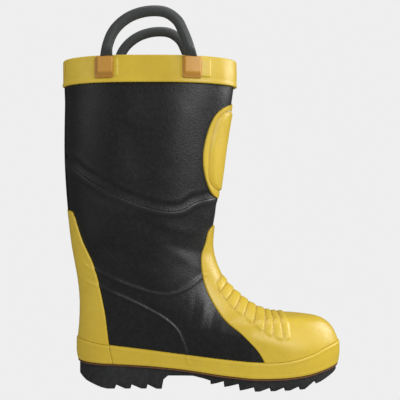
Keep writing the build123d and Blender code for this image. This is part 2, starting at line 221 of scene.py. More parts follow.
# The boot's form is a stack of closed rings, as in the solid model.
STATIONS = (
    # back x, back z, front x, front z, front round, back round, shaft share, shaft half-width
    (-134.0, -6.0, 142.0, -10.0, 0.21, 0.112, 0.00, 36.5),
    (-136.0, 5.0, 147.0, 0.0, 0.21, 0.112, 0.00, 36.5),
    (-138.0, 16.0, 151.5, 10.0, 0.21, 0.112, 0.00, 36.5),
    (-140.0, 27.0, 154.8, 20.0, 0.21, 0.112, 0.00, 36.5),
    (-142.0, 36.0, 157.3, 31.0, 0.22, 0.114, 0.00, 36.5),
    (-142.3, 44.0, 157.4, 43.0, 0.24, 0.116, 0.00, 36.5),
    (-142.0, 51.0, 154.2, 53.4, 0.30, 0.118, 0.02, 36.5),
    (-141.3, 57.0, 148.7, 63.1, 0.40, 0.122, 0.08, 36.5),
    (-140.6, 62.5, 137.5, 71.6, 0.50, 0.128, 0.19, 36.5),
    (-140.1, 67.0, 120.5, 75.2, 0.56, 0.140, 0.26, 36.5),
    (-139.8, 71.0, 98.0, 76.4, 0.54, 0.155, 0.30, 36.5),
    (-139.5, 76.0, 77.0, 79.6, 0.51, 0.175, 0.34, 36.5),
    (-139.4, 83.0, 58.4, 87.2, 0.50, 0.200, 0.39, 36.6),
    (-139.6, 92.0, 42.0, 99.4, 0.50, 0.235, 0.47, 36.9),
    (-140.5, 104.0, 27.2, 114.4, 0.49, 0.280, 0.58, 37.4),
    (-142.4, 119.0, 16.8, 133.0, 0.47, 0.330, 0.71, 38.2),
    (-145.6, 138.0, 11.0, 154.6, 0.46, 0.375, 0.85, 39.4),
    (-149.3, 160.0, 11.8, 176.0, 0.43, 0.400, 0.94, 40.8),
    (-152.4, 184.0, 15.2, 196.0, 0.42, 0.415, 0.99, 42.2),
    (-155.2, 212.0, 18.2, 220.0, 0.42, 0.420, 1.00, 43.8),
    (-157.2, 252.0, 23.2, 256.0, 0.42, 0.420, 1.00, 46.0),
    (-157.6, 292.0, 29.0, 295.0, 0.42, 0.420, 1.00, 47.8),
    (-157.6, 323.0, 34.4, 325.0, 0.42, 0.420, 1.00, 48.9),
    (-157.8, 348.0, 37.2, 348.0, 0.42, 0.420, 1.00, 49.5),
    (-157.8, 368.0, 37.2, 368.0, 0.42, 0.420, 1.00, 49.5),
    (-157.8, 388.0, 37.2, 388.0, 0.42, 0.420, 1.00, 49.5),
)
FOOT_X = (-150.0, -110.0, -60.0, -20.0, 20.0, 55.0, 90.0, 125.0, 160.0)
FOOT_HALF = (33.0, 34.5, 34.0, 38.0, 45.0, 48.5, 47.0, 44.0, 41.0)

FEATHER = SideLine(
    (
        (-200, 27.5), (-145, 27), (-100, 25.5), (-30, 21), (30, 14.5), (70, 11.7),
        (110, 13), (140, 17.5), (200, 30),
    )
)
FOXING_TOP = SideLine(
    (
        (-200, 57), (-145, 54), (-105, 48.8), (-25, 39.3), (60, 32), (95, 32.5),
        (124, 38.5), (142, 44.5), (200, 56),
    )
)
PLY_LINE = SideLine(
    (
        (-200, 272), (-154, 253), (-127, 234), (-97, 217), (-71, 206), (-45, 199),
        (-24, 199), (-3, 209), (40, 218),
    )
)
HEEL_EDGE = SideLine(
    (
        (-190, 204), (-152, 198.5), (-145, 192.5), (-141, 182), (-134, 163), (-120.5, 133),
        (-109, 86), (-104, 50), (-96, 8),
    )
)
VAMP_EDGE = SideLine(
    ((60, 190), (14, 181), (3.2, 160), (-1.4, 139), (4.8, 109), (23, 79), (46, 60), (65.7, 37), (80, 0))
)
SHIN_EDGE = SideLine(
    ((60, 326), (34, 320), (14, 304), (2.4, 272), (1.6, 243), (11, 217), (30, 208), (60, 206))
)
SHIN_DOME = SideLine(((60, 316), (27, 309), (13, 281), (9, 251), (11, 229), (26, 219), (60, 216)))
HEEL_SEAM = SideLine(((-108, 90), (-104, 50), (-99.5, 27), (-96, 0)))
FLOOR_LEVEL = SideLine(((-200, 0), (200, 0)))


@dataclass(frozen=True)
class BootForm:
    """The outer face of the rubber, as a surface of an angle round each ring and a place up the rings."""

    step: float = 2e-3
    toe_swing: float = 8.0
    swing_from: float = 40.0
    swing_to: float = 170.0

    def point(self, theta: Array, place: Array) -> Array:
        """Points of the bare form.

        A ring lies on the chord from its back point to its front point. Its half-width is the foot's plan or
        the shaft's width, rounded off elliptically at both ends.

        Args:
            theta: Angles, 0 at the front and pi at the back; the outer side is between them.
            place: Ring numbers.

        Returns:
            Points in millimetres, with x, y, z last.
        """
        columns = np.moveaxis(along(STATIONS, place), -1, 0)
        back_x, back_z, front_x, front_z, front_round, back_round, shaft, half = columns
        share = (1.0 + np.cos(theta)) / 2.0
        x = back_x + share * (front_x - back_x)
        z = back_z + share * (front_z - back_z)
        chord = np.hypot(front_x - back_x, front_z - back_z)
        ends = rim(chord * (1.0 - share), chord * front_round) * rim(chord * share, chord * back_round)
        width = ((1.0 - shaft) * np.interp(x, FOOT_X, FOOT_HALF) + shaft * half) * ends
        turning = eased((x - self.swing_from) / (self.swing_to - self.swing_from))
        swing = self.toe_swing * turning * (1.0 - shaft)
        return np.stack([x, swing - np.sign(np.sin(theta)) * width, z], -1)

    def normal(self, theta: Array, place: Array) -> Array:
        """Outward unit normals, from differences to both sides.

        Args:
            theta: Angles.
            place: Ring numbers.

        Returns:
            One unit vector for each point.
        """
        low = np.maximum(place - self.step, 0.0)
        high = np.minimum(place + self.step, len(STATIONS) - 1.0)
        around = self.point(theta + self.step, place) - self.point(theta - self.step, place)
        up = self.point(theta, high) - self.point(theta, low)
        across = np.cross(up, around)
        return across / np.linalg.norm(across, axis=-1, keepdims=True)

    def skin(self, theta: Array, place: Array, height: Array | float) -> Array:
        """Points at a height over the form, along its normals."""
        lifted = np.broadcast_to(height, np.broadcast(theta, place).shape)
        return self.point(theta, place) + self.normal(theta, place) * lifted[..., None]

    def speed(self, theta: Array, place: Array) -> Array:
        """Millimetres round a ring for each radian of its angle.

        Args:
            theta: Angles.
            place: Ring numbers.

        Returns:
            The length of the ring over the angle, in millimetres.
        """
        gap = self.point(theta + self.step, place) - self.point(theta - self.step, place)
        return np.linalg.norm(gap, axis=-1) / (2.0 * self.step)

    def place_of(self, line: SideLine, theta: Array, rise: float = 0.0) -> Array:
        """The ring place where each angle meets a side-view line moved up by rise.

        Args:
            line: The side-view line.
            theta: Angles.
            rise: How far the line is moved up.

        Returns:
            One ring number for each angle.
        """

        def under(place: Array) -> Array:
            """Whether each ring number is still under the line."""
            at = self.point(theta, place)
            return at[..., 2] < line.z_at(at[..., 0]) + rise

        zero = np.zeros(np.shape(theta))
        return solve(under, zero, zero + len(STATIONS) - 1.0)

    def angle_of(self, edge: SideLine, place: Array) -> Array:
        """The angle where each ring crosses an upright side-view line.

        Args:
            edge: The side-view line.
            place: Ring numbers.

        Returns:
            One angle from 0 to pi for each ring.
        """

        def ahead(theta: Array) -> Array:
            """Whether each angle is still on the toe's side of the line."""
            at = self.point(theta, place)
            return at[..., 0] > edge.x_at(at[..., 2])

        zero = np.zeros(np.shape(place))
        return solve(ahead, zero, zero + math.pi)

    def even_angles(self, count: int, place: float) -> Array:
        """Angles that part one ring into equal lengths, without repeating the first.

        Args:
            count: How many angles.
            place: The ring number.

        Returns:
            The angles, from 0 up.
        """
        fine = np.linspace(0.0, TURN, 4001)
        speed = self.speed(fine, np.full(fine.shape, place))
        length = np.concatenate([[0.0], np.cumsum((speed[1:] + speed[:-1]) / 2.0)])
        return np.interp(np.arange(count) / count * length[-1], length, fine)

    def angle_at(self, x: Array, place: Array) -> Array:
        """The angle where a ring has a given x.

        Args:
            x: Places along the boot.
            place: Ring numbers.

        Returns:
            Angles from 0 to pi.
        """
        ends = along(STATIONS, place)
        share = (x - ends[..., 0]) / (ends[..., 2] - ends[..., 0])
        return np.arccos(np.clip(2.0 * share - 1.0, -1.0, 1.0))


FORM = BootForm()


@dataclass(frozen=True)
class Crease:
    """A soft fold or ridge along a straight stretch in side view."""

    start: Point
    end: Point
    width: float
    height: float
    fade: float = 0.3

    def lift(self, x: Array, z: Array) -> Array:
        """Its share of the relief: a soft bump over the line that dies out at both ends.

        Args:
            x: Places along the boot.
            z: Heights there.

        Returns:
            Heights over the form.
        """
        run = np.subtract(self.end, self.start)
        length = float(np.hypot(*run))
        share = ((x - self.start[0]) * run[0] + (z - self.start[1]) * run[1]) / length**2
        off = ((x - self.start[0]) * run[1] - (z - self.start[1]) * run[0]) / length
        ends = eased(share / self.fade + self.fade) * eased((1.0 - share) / self.fade + self.fade)
        return self.height * ridge(off, self.width) * ends


@dataclass(frozen=True)
class Relief:
    """How the worn rubber stands off its plain form: slack, ankle folds and the edges of hidden plies."""

    slack: float = 0.55
    ply_lines: tuple[SideLine, ...] = (
        SideLine(
            ((-134, 140), (-120.8, 132.3), (-79, 114.5), (-49, 106), (-33, 106), (-17, 112), (2, 125.5))
        ),
        SideLine(
            ((-132, 120), (-115, 113.8), (-79, 98), (-59, 88), (-43, 79), (-30, 68), (-22.5, 55), (-14, 30))
        ),
    )
    folds: tuple[Crease, ...] = (
        Crease((5, 101), (-8, 45), 3.8, 0.54),
        Crease((-6, 108), (-17, 52), 3.4, -0.41),
        Crease((14, 92), (6, 44), 3.6, -0.41),
        Crease((24, 82), (16, 42), 3.4, 0.34),
        Crease((-30, 150), (8, 128), 5.6, 0.48),
        Crease((-40, 163), (10, 146), 5.5, -0.61),
        Crease((-62, 186), (-2, 172), 6.0, 0.54),
        Crease((-95, 196), (-40, 176), 6.5, -0.54),
        Crease((-128, 214), (-70, 190), 7.0, 0.48),
        Crease((-118, 160), (-70, 136), 7.5, -0.48),
        Crease((-90, 143), (-46, 128), 5.5, 0.41),
        Crease((-92, 300), (-66, 236), 9.0, -0.41),
        Crease((-20, 320), (-34, 250), 10.0, 0.41),
    )

    def waves(self, x: Array, y: Array, z: Array) -> Array:
        """Slow dents all over: a sum of slanting sine waves that differ from side to side.

        Args:
            x: Places along the boot.
            y: Places across it.
            z: Heights there.

        Returns:
            Heights over the form.
        """
        phase = np.where(y < 0.0, 0.0, 1.9)
        low = np.sin(x / 23.0 + z / 31.0 + phase) + np.sin(z / 17.0 - x / 41.0 + 2.0 * phase + 0.7)
        high = np.sin(x / 11.0 - z / 13.0 + 1.3 + phase) + np.sin(x / 9.0 + z / 19.0 - phase)
        return self.slack * (0.38 * low + 0.14 * high)

    def plies(self, x: Array, z: Array) -> Array:
        """The embossed edges of the plies: a low step down over each line with a ridge along it.

        Args:
            x: Places along the boot.
            z: Heights there.

        Returns:
            Heights over the form.
        """
        total = np.zeros(np.shape(x))
        for line in self.ply_lines:
            first, last = line.points[0][0], line.points[-1][0]
            reach = eased((x - first + 4.0) / 10.0) * eased((last + 6.0 - x) / 9.0)
            off = line.above(x, z)
            step_down = 0.45 * eased((off + 1.0) / 4.0) * ridge(off, 8.0)
            total = total + reach * (0.9 * ridge(off, 1.5) - step_down)
        return total

    def at(self, points: Array) -> Array:
        """The whole relief at points of the form, faded out at the sole and the collar.

        Args:
            points: Points of the form.

        Returns:
            Heights over the form.
        """
        x, y, z = np.moveaxis(points, -1, 0)
        fold = sum(crease.lift(x, z) for crease in self.folds)
        quiet = eased((z - 48.0) / 30.0) * eased((337.0 - z) / 16.0)
        toe = eased((70.0 - x) / 50.0)
        return quiet * toe * (self.waves(x, y, z) + fold) + self.plies(x, z)


RELIEF = Relief()


def relief_at(theta: Array, place: Array) -> Array:
    """The shared relief at angles and ring places."""
    return RELIEF.at(FORM.point(theta, place))


# -------------------------------------------------------------------------------------------- meshes


def grid_faces(rows: int, columns: int, start: int, wrap_rows: bool, wrap_columns: bool) -> Array:
    """Quads between the points of a grid whose numbers run along its rows.

    Args:
        rows: Rows of the grid.
        columns: Columns of the grid.
        start: The first point's number.
        wrap_rows: Whether the last row meets the first.
        wrap_columns: Whether the last column meets the first.

    Returns:
        Four point numbers for each face.
    """
    down = np.arange(rows if wrap_rows else rows - 1)
    along_row = np.arange(columns if wrap_columns else columns - 1)
    r, c = np.meshgrid(down, along_row, indexing="ij")
    r2, c2 = (r + 1) % rows, (c + 1) % columns
    corners = [r * columns + c, r * columns + c2, r2 * columns + c2, r2 * columns + c]
    return start + np.stack(corners, -1).reshape(-1, 4)


def signed_volume(points: Array, quads: Array) -> float:
    """Six times the space inside a closed mesh, negative if its faces point inwards.

    Args:
        points: The mesh's points.
        quads: Its faces, four point numbers each.

    Returns:
        The sum of a . (b x c) + a . (c x d) over the faces.
    """
    a, b, c, d = (points[quads[:, i]] for i in range(4))
    first = np.einsum("ij,ij->i", a, np.cross(b, c))
    second = np.einsum("ij,ij->i", a, np.cross(c, d))
    return float((first + second).sum())


def make_piece(name: str, points: Array, faces: list, mark: Array) -> bpy.types.Object:
    """Turns points and faces into a smooth-shaded object with its faces pointing out.

    Args:
        name: The piece's name.
        points: Its points in millimetres.
        faces: Its faces, three or four point numbers each.
        mark: The relief at each point, kept for the finish to read.

    Returns:
        The new object, at the origin.
    """
    quads = np.array([face if len(face) == 4 else face + face[-1:] for face in faces])
    if signed_volume(points, quads) < 0.0:
        faces = [face[::-1] for face in faces]
    mesh = bpy.data.meshes.new(name)
    mesh.from_pydata((points * MM).tolist(), [], faces)
    layer = mesh.attributes.new("relief", "FLOAT", "POINT")
    layer.data.foreach_set("value", np.ascontiguousarray(mark, dtype=np.float32).ravel())
    mesh.validate()
    mesh.polygons.foreach_set("use_smooth", np.ones(len(mesh.polygons), bool))
    mesh.set_sharp_from_angle(angle=CRISP_EDGE)
    mesh.update()
    piece = bpy.data.objects.new(name, mesh)
    bpy.context.scene.collection.objects.link(piece)
    return piece


def ring_piece(name: str, grid: Array, mark: Array) -> bpy.types.Object:
    """A closed band: rows go round its cross-section and columns go round the boot.

    Args:
        name: The piece's name.
        grid: Points, with rows and columns that both close on themselves.
        mark: The relief at each point.

    Returns:
        The new object.
    """
    rows, columns = grid.shape[:2]
    quads = grid_faces(rows, columns, 0, True, True)
    return make_piece(name, grid.reshape(-1, 3), quads.tolist(), mark)


def slab_piece(name: str, outer: Array, inner: Array, mark: Array) -> bpy.types.Object:
    """A closed patch from its outer and inner faces, which are grids of one size.

    Args:
        name: The piece's name.
        outer: Points of the outer face.
        inner: Points of the inner face.
        mark: The relief on the outer face, kept for the finish.

    Returns:
        The new object.
    """
    rows, columns = outer.shape[:2]
    count = rows * columns
    front = grid_faces(rows, columns, 0, False, False)
    back = grid_faces(rows, columns, count, False, False)[:, ::-1]
    numbers = np.arange(count).reshape(rows, columns)
    border = np.concatenate([numbers[0], numbers[1:, -1], numbers[-1, -2::-1], numbers[-2:0:-1, 0]])
    after = np.roll(border, -1)
    wall = np.stack([after, border, border + count, after + count], -1)
    points = np.concatenate([outer.reshape(-1, 3), inner.reshape(-1, 3)])
    marks = np.concatenate([mark.ravel(), np.zeros(count)])
    return make_piece(name, points, np.concatenate([front, back, wall]).tolist(), marks)


def tube_piece(name: str, rings: Array, mark: Array) -> bpy.types.Object:
    """A closed bar from rings of points, each end shut by a ring drawn in to its middle.

    Args:
        name: The piece's name.
        rings: Rows of points, one ring in each row.
        mark: The relief at each point.

    Returns:
        The new object.
    """
    middles = rings[[0, -1]].mean(axis=1, keepdims=True)
    near = middles[:1] + (rings[:1] - middles[:1]) * POLE_SHARE
    far = middles[1:] + (rings[-1:] - middles[1:]) * POLE_SHARE
    grid = np.concatenate([near, rings, far])
    rows, columns = grid.shape[:2]
    points = np.concatenate([grid.reshape(-1, 3), middles.reshape(-1, 3)])
    here = np.arange(columns)
    there = (here + 1) % columns
    last = (rows - 1) * columns
    first_pole = np.full(columns, rows * columns)
    first_end = np.stack([there, here, first_pole], -1)
    last_end = np.stack([last + here, last + there, first_pole + 1], -1)
    faces = grid_faces(rows, columns, 0, False, True).tolist() + first_end.tolist() + last_end.tolist()
    marks = np.concatenate([mark[0], mark.ravel(), mark[-1], [0.0, 0.0]])
    return make_piece(name, points, faces, marks)


# ------------------------------------------------------------------------------------------ finishes


@dataclass
class Wiring:
    """A node tree with short ways to add nodes and join them."""

    tree: bpy.types.NodeTree

    def add(self, kind: str, settings: dict | None = None, **inputs: object) -> bpy.types.Node:
        """Adds a node.

        Args:
            kind: The node's type, without its ShaderNode prefix.
            settings: Properties of the node itself.
            **inputs: Socket values or the sockets that feed them, with spaces written as underscores.

        Returns:
            The new node.
        """
        node = self.tree.nodes.new("ShaderNode" + kind)
        for key, value in (settings or {}).items():
            setattr(node, key, value)
        for key, value in inputs.items():
            numbered = key[0] == "i" and key[1:].isdigit()
            socket = node.inputs[int(key[1:]) if numbered else key.replace("_", " ")]
            if isinstance(value, bpy.types.NodeSocket):
                self.tree.links.new(value, socket)
            else:
                socket.default_value = value
        return node

    def sum(self, kind: str, first: object, second: object) -> bpy.types.NodeSocket:
        """A Math node's result."""
        return self.add("Math", {"operation": kind}, i0=first, i1=second).outputs[0]

    def ramp(self, value: bpy.types.NodeSocket, low: object, high: object) -> bpy.types.NodeSocket:
        """Turns low to high into 0 to 1 with soft ends."""
        settings = {"interpolation_type": "SMOOTHSTEP"}
        return self.add("MapRange", settings, Value=value, From_Min=low, From_Max=high).outputs["Result"]

    def mix(self, share: object, first: object, second: object) -> bpy.types.NodeSocket:
        """Mixes two colours.

        Args:
            share: How much of the second colour shows, as a value or a socket.
            first: The first colour or its socket.
            second: The second colour or its socket.

        Returns:
            The mixed colour's socket.
        """
        node = self.add("Mix", {"data_type": "RGBA"})
        for index, value in ((0, share), (6, first), (7, second)):
            if isinstance(value, bpy.types.NodeSocket):
                self.tree.links.new(value, node.inputs[index])
            else:
                node.inputs[index].default_value = value
        return node.outputs[2]


class Effect(Enum):
    """The shader effects that several finishes share."""

    MOTTLE = "mottle"
    GRAIN = "grain"
    WEAVE = "weave"
    HOLLOWS = "hollows"


@dataclass
class Effects:
    """Builds each shared effect once, as a shader node group."""

    built: dict[Effect, bpy.types.NodeTree] = field(default_factory=dict)

    def get(self, effect: Effect) -> bpy.types.NodeTree:
        """The group of an effect, made when it is first asked for.

        Args:
            effect: Which effect.

        Returns:
            Its node group.
        """
        if effect not in self.built:
            self.built[effect] = getattr(self, effect.value)()
        return self.built[effect]

    def start(
        self, name: str, inputs: dict[str, float | None], outputs: dict[str, str]
    ) -> tuple[Wiring, dict, bpy.types.Node]:
        """An empty group.

        Args:
            name: Its name.
            inputs: Names and values of its number inputs; None makes a vector input.
            outputs: Names and socket types of its outputs.

        Returns:
            Its wiring, its input sockets by name, and its output node.
        """
        tree = bpy.data.node_groups.new(name, "ShaderNodeTree")
        for key, value in inputs.items():
            kind = "NodeSocketVector" if value is None else "NodeSocketFloat"
            socket = tree.interface.new_socket(key, in_out="INPUT", socket_type=kind)
            if value is not None:
                socket.default_value = value
        for key, kind in outputs.items():
            tree.interface.new_socket(key, in_out="OUTPUT", socket_type=kind)
        source, sink = tree.nodes.new("NodeGroupInput"), tree.nodes.new("NodeGroupOutput")
        return Wiring(tree), {key: source.outputs[key] for key in inputs}, sink

    def mottle(self) -> bpy.types.NodeTree:
        """Cloudy patches at two sizes, each from 0 to 1.

        Returns:
            The group.
        """
        outputs = {"Cloud": "NodeSocketFloat", "Speck": "NodeSocketFloat"}
        wiring, given, sink = self.start("mottle", {"Vector": None, "Scale": 14.0}, outputs)
        vector, scale = given["Vector"], given["Scale"]
        cloud = wiring.add("TexNoise", Vector=vector, Scale=scale, Detail=4.0, Roughness=0.6)
        finer = wiring.sum("MULTIPLY", scale, 17.0)
        speck = wiring.add("TexNoise", Vector=vector, Scale=finer, Detail=3.0, Roughness=0.65)
        wiring.tree.links.new(wiring.ramp(cloud.outputs[0], 0.34, 0.66), sink.inputs["Cloud"])
        wiring.tree.links.new(wiring.ramp(speck.outputs[0], 0.38, 0.68), sink.inputs["Speck"])
        return wiring.tree

    def grain(self) -> bpy.types.NodeTree:
        """The normal of a fine moulded grain over shallow pits, from noise and cells.

        Returns:
            The group.
        """
        inputs = {"Vector": None, "Scale": 700.0, "Depth": 0.3, "Pits": 0.3}
        wiring, given, sink = self.start("grain", inputs, {"Normal": "NodeSocketVector"})
        vector, scale = given["Vector"], given["Scale"]
        noise = wiring.add("TexNoise", Vector=vector, Scale=scale, Detail=3.0, Roughness=0.6)
        wide = wiring.sum("MULTIPLY", scale, 0.12)
        slow = wiring.add("TexNoise", Vector=vector, Scale=wide, Detail=2.0)
        cells = wiring.add("TexVoronoi", Vector=vector, Scale=scale)
        pits = wiring.sum("MULTIPLY", cells.outputs["Distance"], given["Pits"])
        height = wiring.sum("ADD", wiring.sum("ADD", noise.outputs[0], slow.outputs[0]), pits)
        bump = wiring.add("Bump", Strength=given["Depth"], Distance=0.0004, Height=height)
        wiring.tree.links.new(bump.outputs[0], sink.inputs["Normal"])
        return wiring.tree

    def weave(self) -> bpy.types.NodeTree:
        """Crossing threads: the larger of two sets of ridges, and its normal.

        Returns:
            The group.
        """
        inputs = {"Vector": None, "Scale": 260.0, "Depth": 0.5}
        outputs = {"Normal": "NodeSocketVector", "Thread": "NodeSocketFloat"}
        wiring, given, sink = self.start("weave", inputs, outputs)
        ridges = []
        for direction in ("X", "Z"):
            wave = wiring.add(
                "TexWave",
                {"wave_type": "BANDS", "bands_direction": direction},
                Vector=given["Vector"],
                Scale=given["Scale"],
                Distortion=0.6,
                Detail=1.0,
            )
            ridges.append(wave.outputs["Fac"])
        thread = wiring.sum("MAXIMUM", *ridges)
        bump = wiring.add("Bump", Strength=given["Depth"], Distance=0.0005, Height=thread)
        wiring.tree.links.new(bump.outputs[0], sink.inputs["Normal"])
        wiring.tree.links.new(thread, sink.inputs["Thread"])
        return wiring.tree

    def hollows(self) -> bpy.types.NodeTree:
        """Where a piece dips and where it stands proud, from the relief kept on its points.

        Returns:
            The group.
        """
        outputs = {"Dip": "NodeSocketFloat", "Crest": "NodeSocketFloat"}
        wiring, given, sink = self.start("hollows", {"Low": -0.8, "High": 0.8}, outputs)
        relief = wiring.add("Attribute", {"attribute_name": "relief"}).outputs["Fac"]
        for limit, output in (("Low", "Dip"), ("High", "Crest")):
            wiring.tree.links.new(wiring.ramp(relief, 0.0, given[limit]), sink.inputs[output])
        return wiring.tree


EFFECTS = Effects()
Colour = tuple[float, float, float]


def opaque(colour: Colour) -> tuple[float, float, float, float]:
    """A colour with full alpha."""
    return (*colour, 1.0)


@dataclass(frozen=True)
class MouldedFinish:
    """Rubber, foam or board: a cloudy colour, dirt and painted shade in the dips, worn crests and a fine
    grain.
    """

    name: str
    colour: Colour
    shade: Colour
    dirt_and_shade: Colour
    worn: Colour
    roughness: float = 0.45
    roughness_spread: float = 0.12
    cloud_scale: float = 14.0
    grain_scale: float = 700.0
    grain_depth: float = 0.3
    pits: float = 0.3
    dirt_and_shade_amount: float = 0.6
    wear_amount: float = 0.3
    metallic: float = 0.0
    specular: float = 0.5
    specks: float = 0.1

    def build(self) -> bpy.types.Material:
        """Makes the material.

        Returns:
            The material.
        """
        material = bpy.data.materials.new(self.name)
        material.use_nodes = True
        material.node_tree.nodes.clear()
        wiring = Wiring(material.node_tree)
        vector = wiring.add("TexCoord").outputs["Object"]
        clouds = {"node_tree": EFFECTS.get(Effect.MOTTLE)}
        mottle = wiring.add("Group", clouds, Vector=vector, Scale=self.cloud_scale)
        hollows = wiring.add("Group", {"node_tree": EFFECTS.get(Effect.HOLLOWS)})
        grain = wiring.add(
            "Group",
            {"node_tree": EFFECTS.get(Effect.GRAIN)},
            Vector=vector,
            Scale=self.grain_scale,
            Depth=self.grain_depth,
            Pits=self.pits,
        )
        cloud, speck = mottle.outputs["Cloud"], mottle.outputs["Speck"]
        base = wiring.mix(cloud, opaque(self.shade), opaque(self.colour))
        base = wiring.mix(wiring.sum("MULTIPLY", speck, self.specks), base, opaque(self.dirt_and_shade))
        # The dips take the dirt colour. That is dirt, and on the yellow covers it is also painted shade in the
        # grooves and furrows.
        dip = wiring.sum("MULTIPLY", hollows.outputs["Dip"], self.dirt_and_shade_amount)
        base = wiring.mix(dip, base, opaque(self.dirt_and_shade))
        crest = wiring.sum("MULTIPLY", hollows.outputs["Crest"], self.wear_amount)
        base = wiring.mix(crest, base, opaque(self.worn))
        spread = wiring.sum("MULTIPLY", wiring.sum("ADD", cloud, speck), self.roughness_spread / 2.0)
        rough = wiring.sum("ADD", spread, self.roughness - self.roughness_spread / 2.0)
        shader = wiring.add(
            "BsdfPrincipled",
            Base_Color=base,
            Roughness=rough,
            Metallic=self.metallic,
            Specular_IOR_Level=self.specular,
            Normal=grain.outputs["Normal"],
        )
        output = wiring.add("OutputMaterial")
        wiring.tree.links.new(shader.outputs[0], output.inputs["Surface"])
        return material


@dataclass(frozen=True)
class TextileFinish:
    """Knitted, woven or felted cloth: two thread colours and a raised weave."""

    name: str
    colour: Colour
    gap: Colour
    scale: float = 260.0
    depth: float = 0.6
    sheen: float = 0.3
    roughness: float = 0.9

    def build(self) -> bpy.types.Material:
        """Makes the material.

        Returns:
            The material.
        """
        material = bpy.data.materials.new(self.name)
        material.use_nodes = True
        material.node_tree.nodes.clear()
        wiring = Wiring(material.node_tree)
        vector = wiring.add("TexCoord").outputs["Object"]
        threads = {"node_tree": EFFECTS.get(Effect.WEAVE)}
        weave = wiring.add("Group", threads, Vector=vector, Scale=self.scale, Depth=self.depth)
        mottle = wiring.add("Group", {"node_tree": EFFECTS.get(Effect.MOTTLE)}, Vector=vector, Scale=22.0)
        base = wiring.mix(weave.outputs["Thread"], opaque(self.gap), opaque(self.colour))
        base = wiring.mix(wiring.sum("MULTIPLY", mottle.outputs["Cloud"], 0.25), base, opaque(self.gap))
        shader = wiring.add(
            "BsdfPrincipled",
            Base_Color=base,
            Roughness=self.roughness,
            Sheen_Weight=self.sheen,
            Normal=weave.outputs["Normal"],
        )
        output = wiring.add("OutputMaterial")
        wiring.tree.links.new(shader.outputs[0], output.inputs["Surface"])
        return material


BROWN_DIRT = (0.16, 0.085, 0.02)
# Dark yellow-brown for dirt specks and for painted shade in the yellow covers' hollows, such as the rib
# grooves and the furrow round the shin dome.
YELLOW_DIRT_AND_SHADE = (0.33, 0.2, 0.018)
ORANGE_DIRT = (0.25, 0.11, 0.016)
GREY_DUST = (0.075, 0.073, 0.068)
FINISHES = {
    "yellow_rubber": MouldedFinish(
        "yellow_rubber", (0.51, 0.36, 0.022), (0.45, 0.31, 0.018), YELLOW_DIRT_AND_SHADE, (0.60, 0.46, 0.06),
        roughness=0.38, grain_scale=620.0, grain_depth=0.2, dirt_and_shade_amount=0.45, cloud_scale=9.0,
    ),
    "orange_rubber": MouldedFinish(
        "orange_rubber", (0.44, 0.205, 0.024), (0.38, 0.175, 0.02), ORANGE_DIRT, (0.52, 0.30, 0.04),
        roughness=0.42,
    ),
    "black_rubber": MouldedFinish(
        "black_rubber", (0.0055, 0.0063, 0.006), (0.0075, 0.0083, 0.008), GREY_DUST, (0.02, 0.02, 0.0195),
        roughness=0.43, roughness_spread=0.14, grain_scale=560.0, grain_depth=0.55, dirt_and_shade_amount=0.04,
        specks=0.03, specular=0.62,
    ),
    "handle_rubber": MouldedFinish(
        "handle_rubber", (0.036, 0.041, 0.039), (0.028, 0.032, 0.031), GREY_DUST, (0.06, 0.063, 0.06),
        roughness=0.55,
    ),
    "rust_trim": MouldedFinish(
        "rust_trim", (0.12, 0.042, 0.012), (0.085, 0.03, 0.01), BROWN_DIRT, (0.2, 0.08, 0.03), roughness=0.6
    ),
    "sole_rubber": MouldedFinish(
        "sole_rubber", (0.009, 0.0102, 0.0098), (0.0145, 0.0157, 0.0153), GREY_DUST, (0.04, 0.04, 0.038),
        roughness=0.62, grain_scale=420.0, grain_depth=0.4,
    ),
    "foam": MouldedFinish(
        "foam", (0.50, 0.47, 0.38), (0.42, 0.39, 0.31), BROWN_DIRT, (0.55, 0.52, 0.44),
        roughness=0.9, pits=1.0, grain_depth=0.8,
    ),
    "stiffener": MouldedFinish(
        "stiffener", (0.27, 0.24, 0.2), (0.2, 0.18, 0.15), BROWN_DIRT, (0.33, 0.3, 0.26), roughness=0.7
    ),
    "board": MouldedFinish(
        "board", (0.48, 0.36, 0.22), (0.40, 0.29, 0.17), BROWN_DIRT, (0.55, 0.43, 0.28),
        roughness=0.85, grain_scale=900.0,
    ),
    "steel": MouldedFinish(
        "steel", (0.60, 0.61, 0.63), (0.48, 0.49, 0.50), BROWN_DIRT, (0.75, 0.75, 0.76),
        roughness=0.34, metallic=1.0, grain_depth=0.1,
    ),
    "felt": TextileFinish("felt", (0.56, 0.54, 0.48), (0.40, 0.38, 0.33), scale=420.0, depth=0.35),
    "lining_textile": TextileFinish("lining_textile", (0.58, 0.56, 0.48), (0.36, 0.34, 0.28)),
    "handle_cord": TextileFinish("handle_cord", (0.68, 0.66, 0.6), (0.5, 0.48, 0.42), scale=380.0),
    "tape": TextileFinish("tape", (0.55, 0.55, 0.53), (0.4, 0.4, 0.38), scale=340.0),
    "footbed": TextileFinish("footbed", (0.11, 0.12, 0.14), (0.05, 0.055, 0.065), scale=300.0),
}


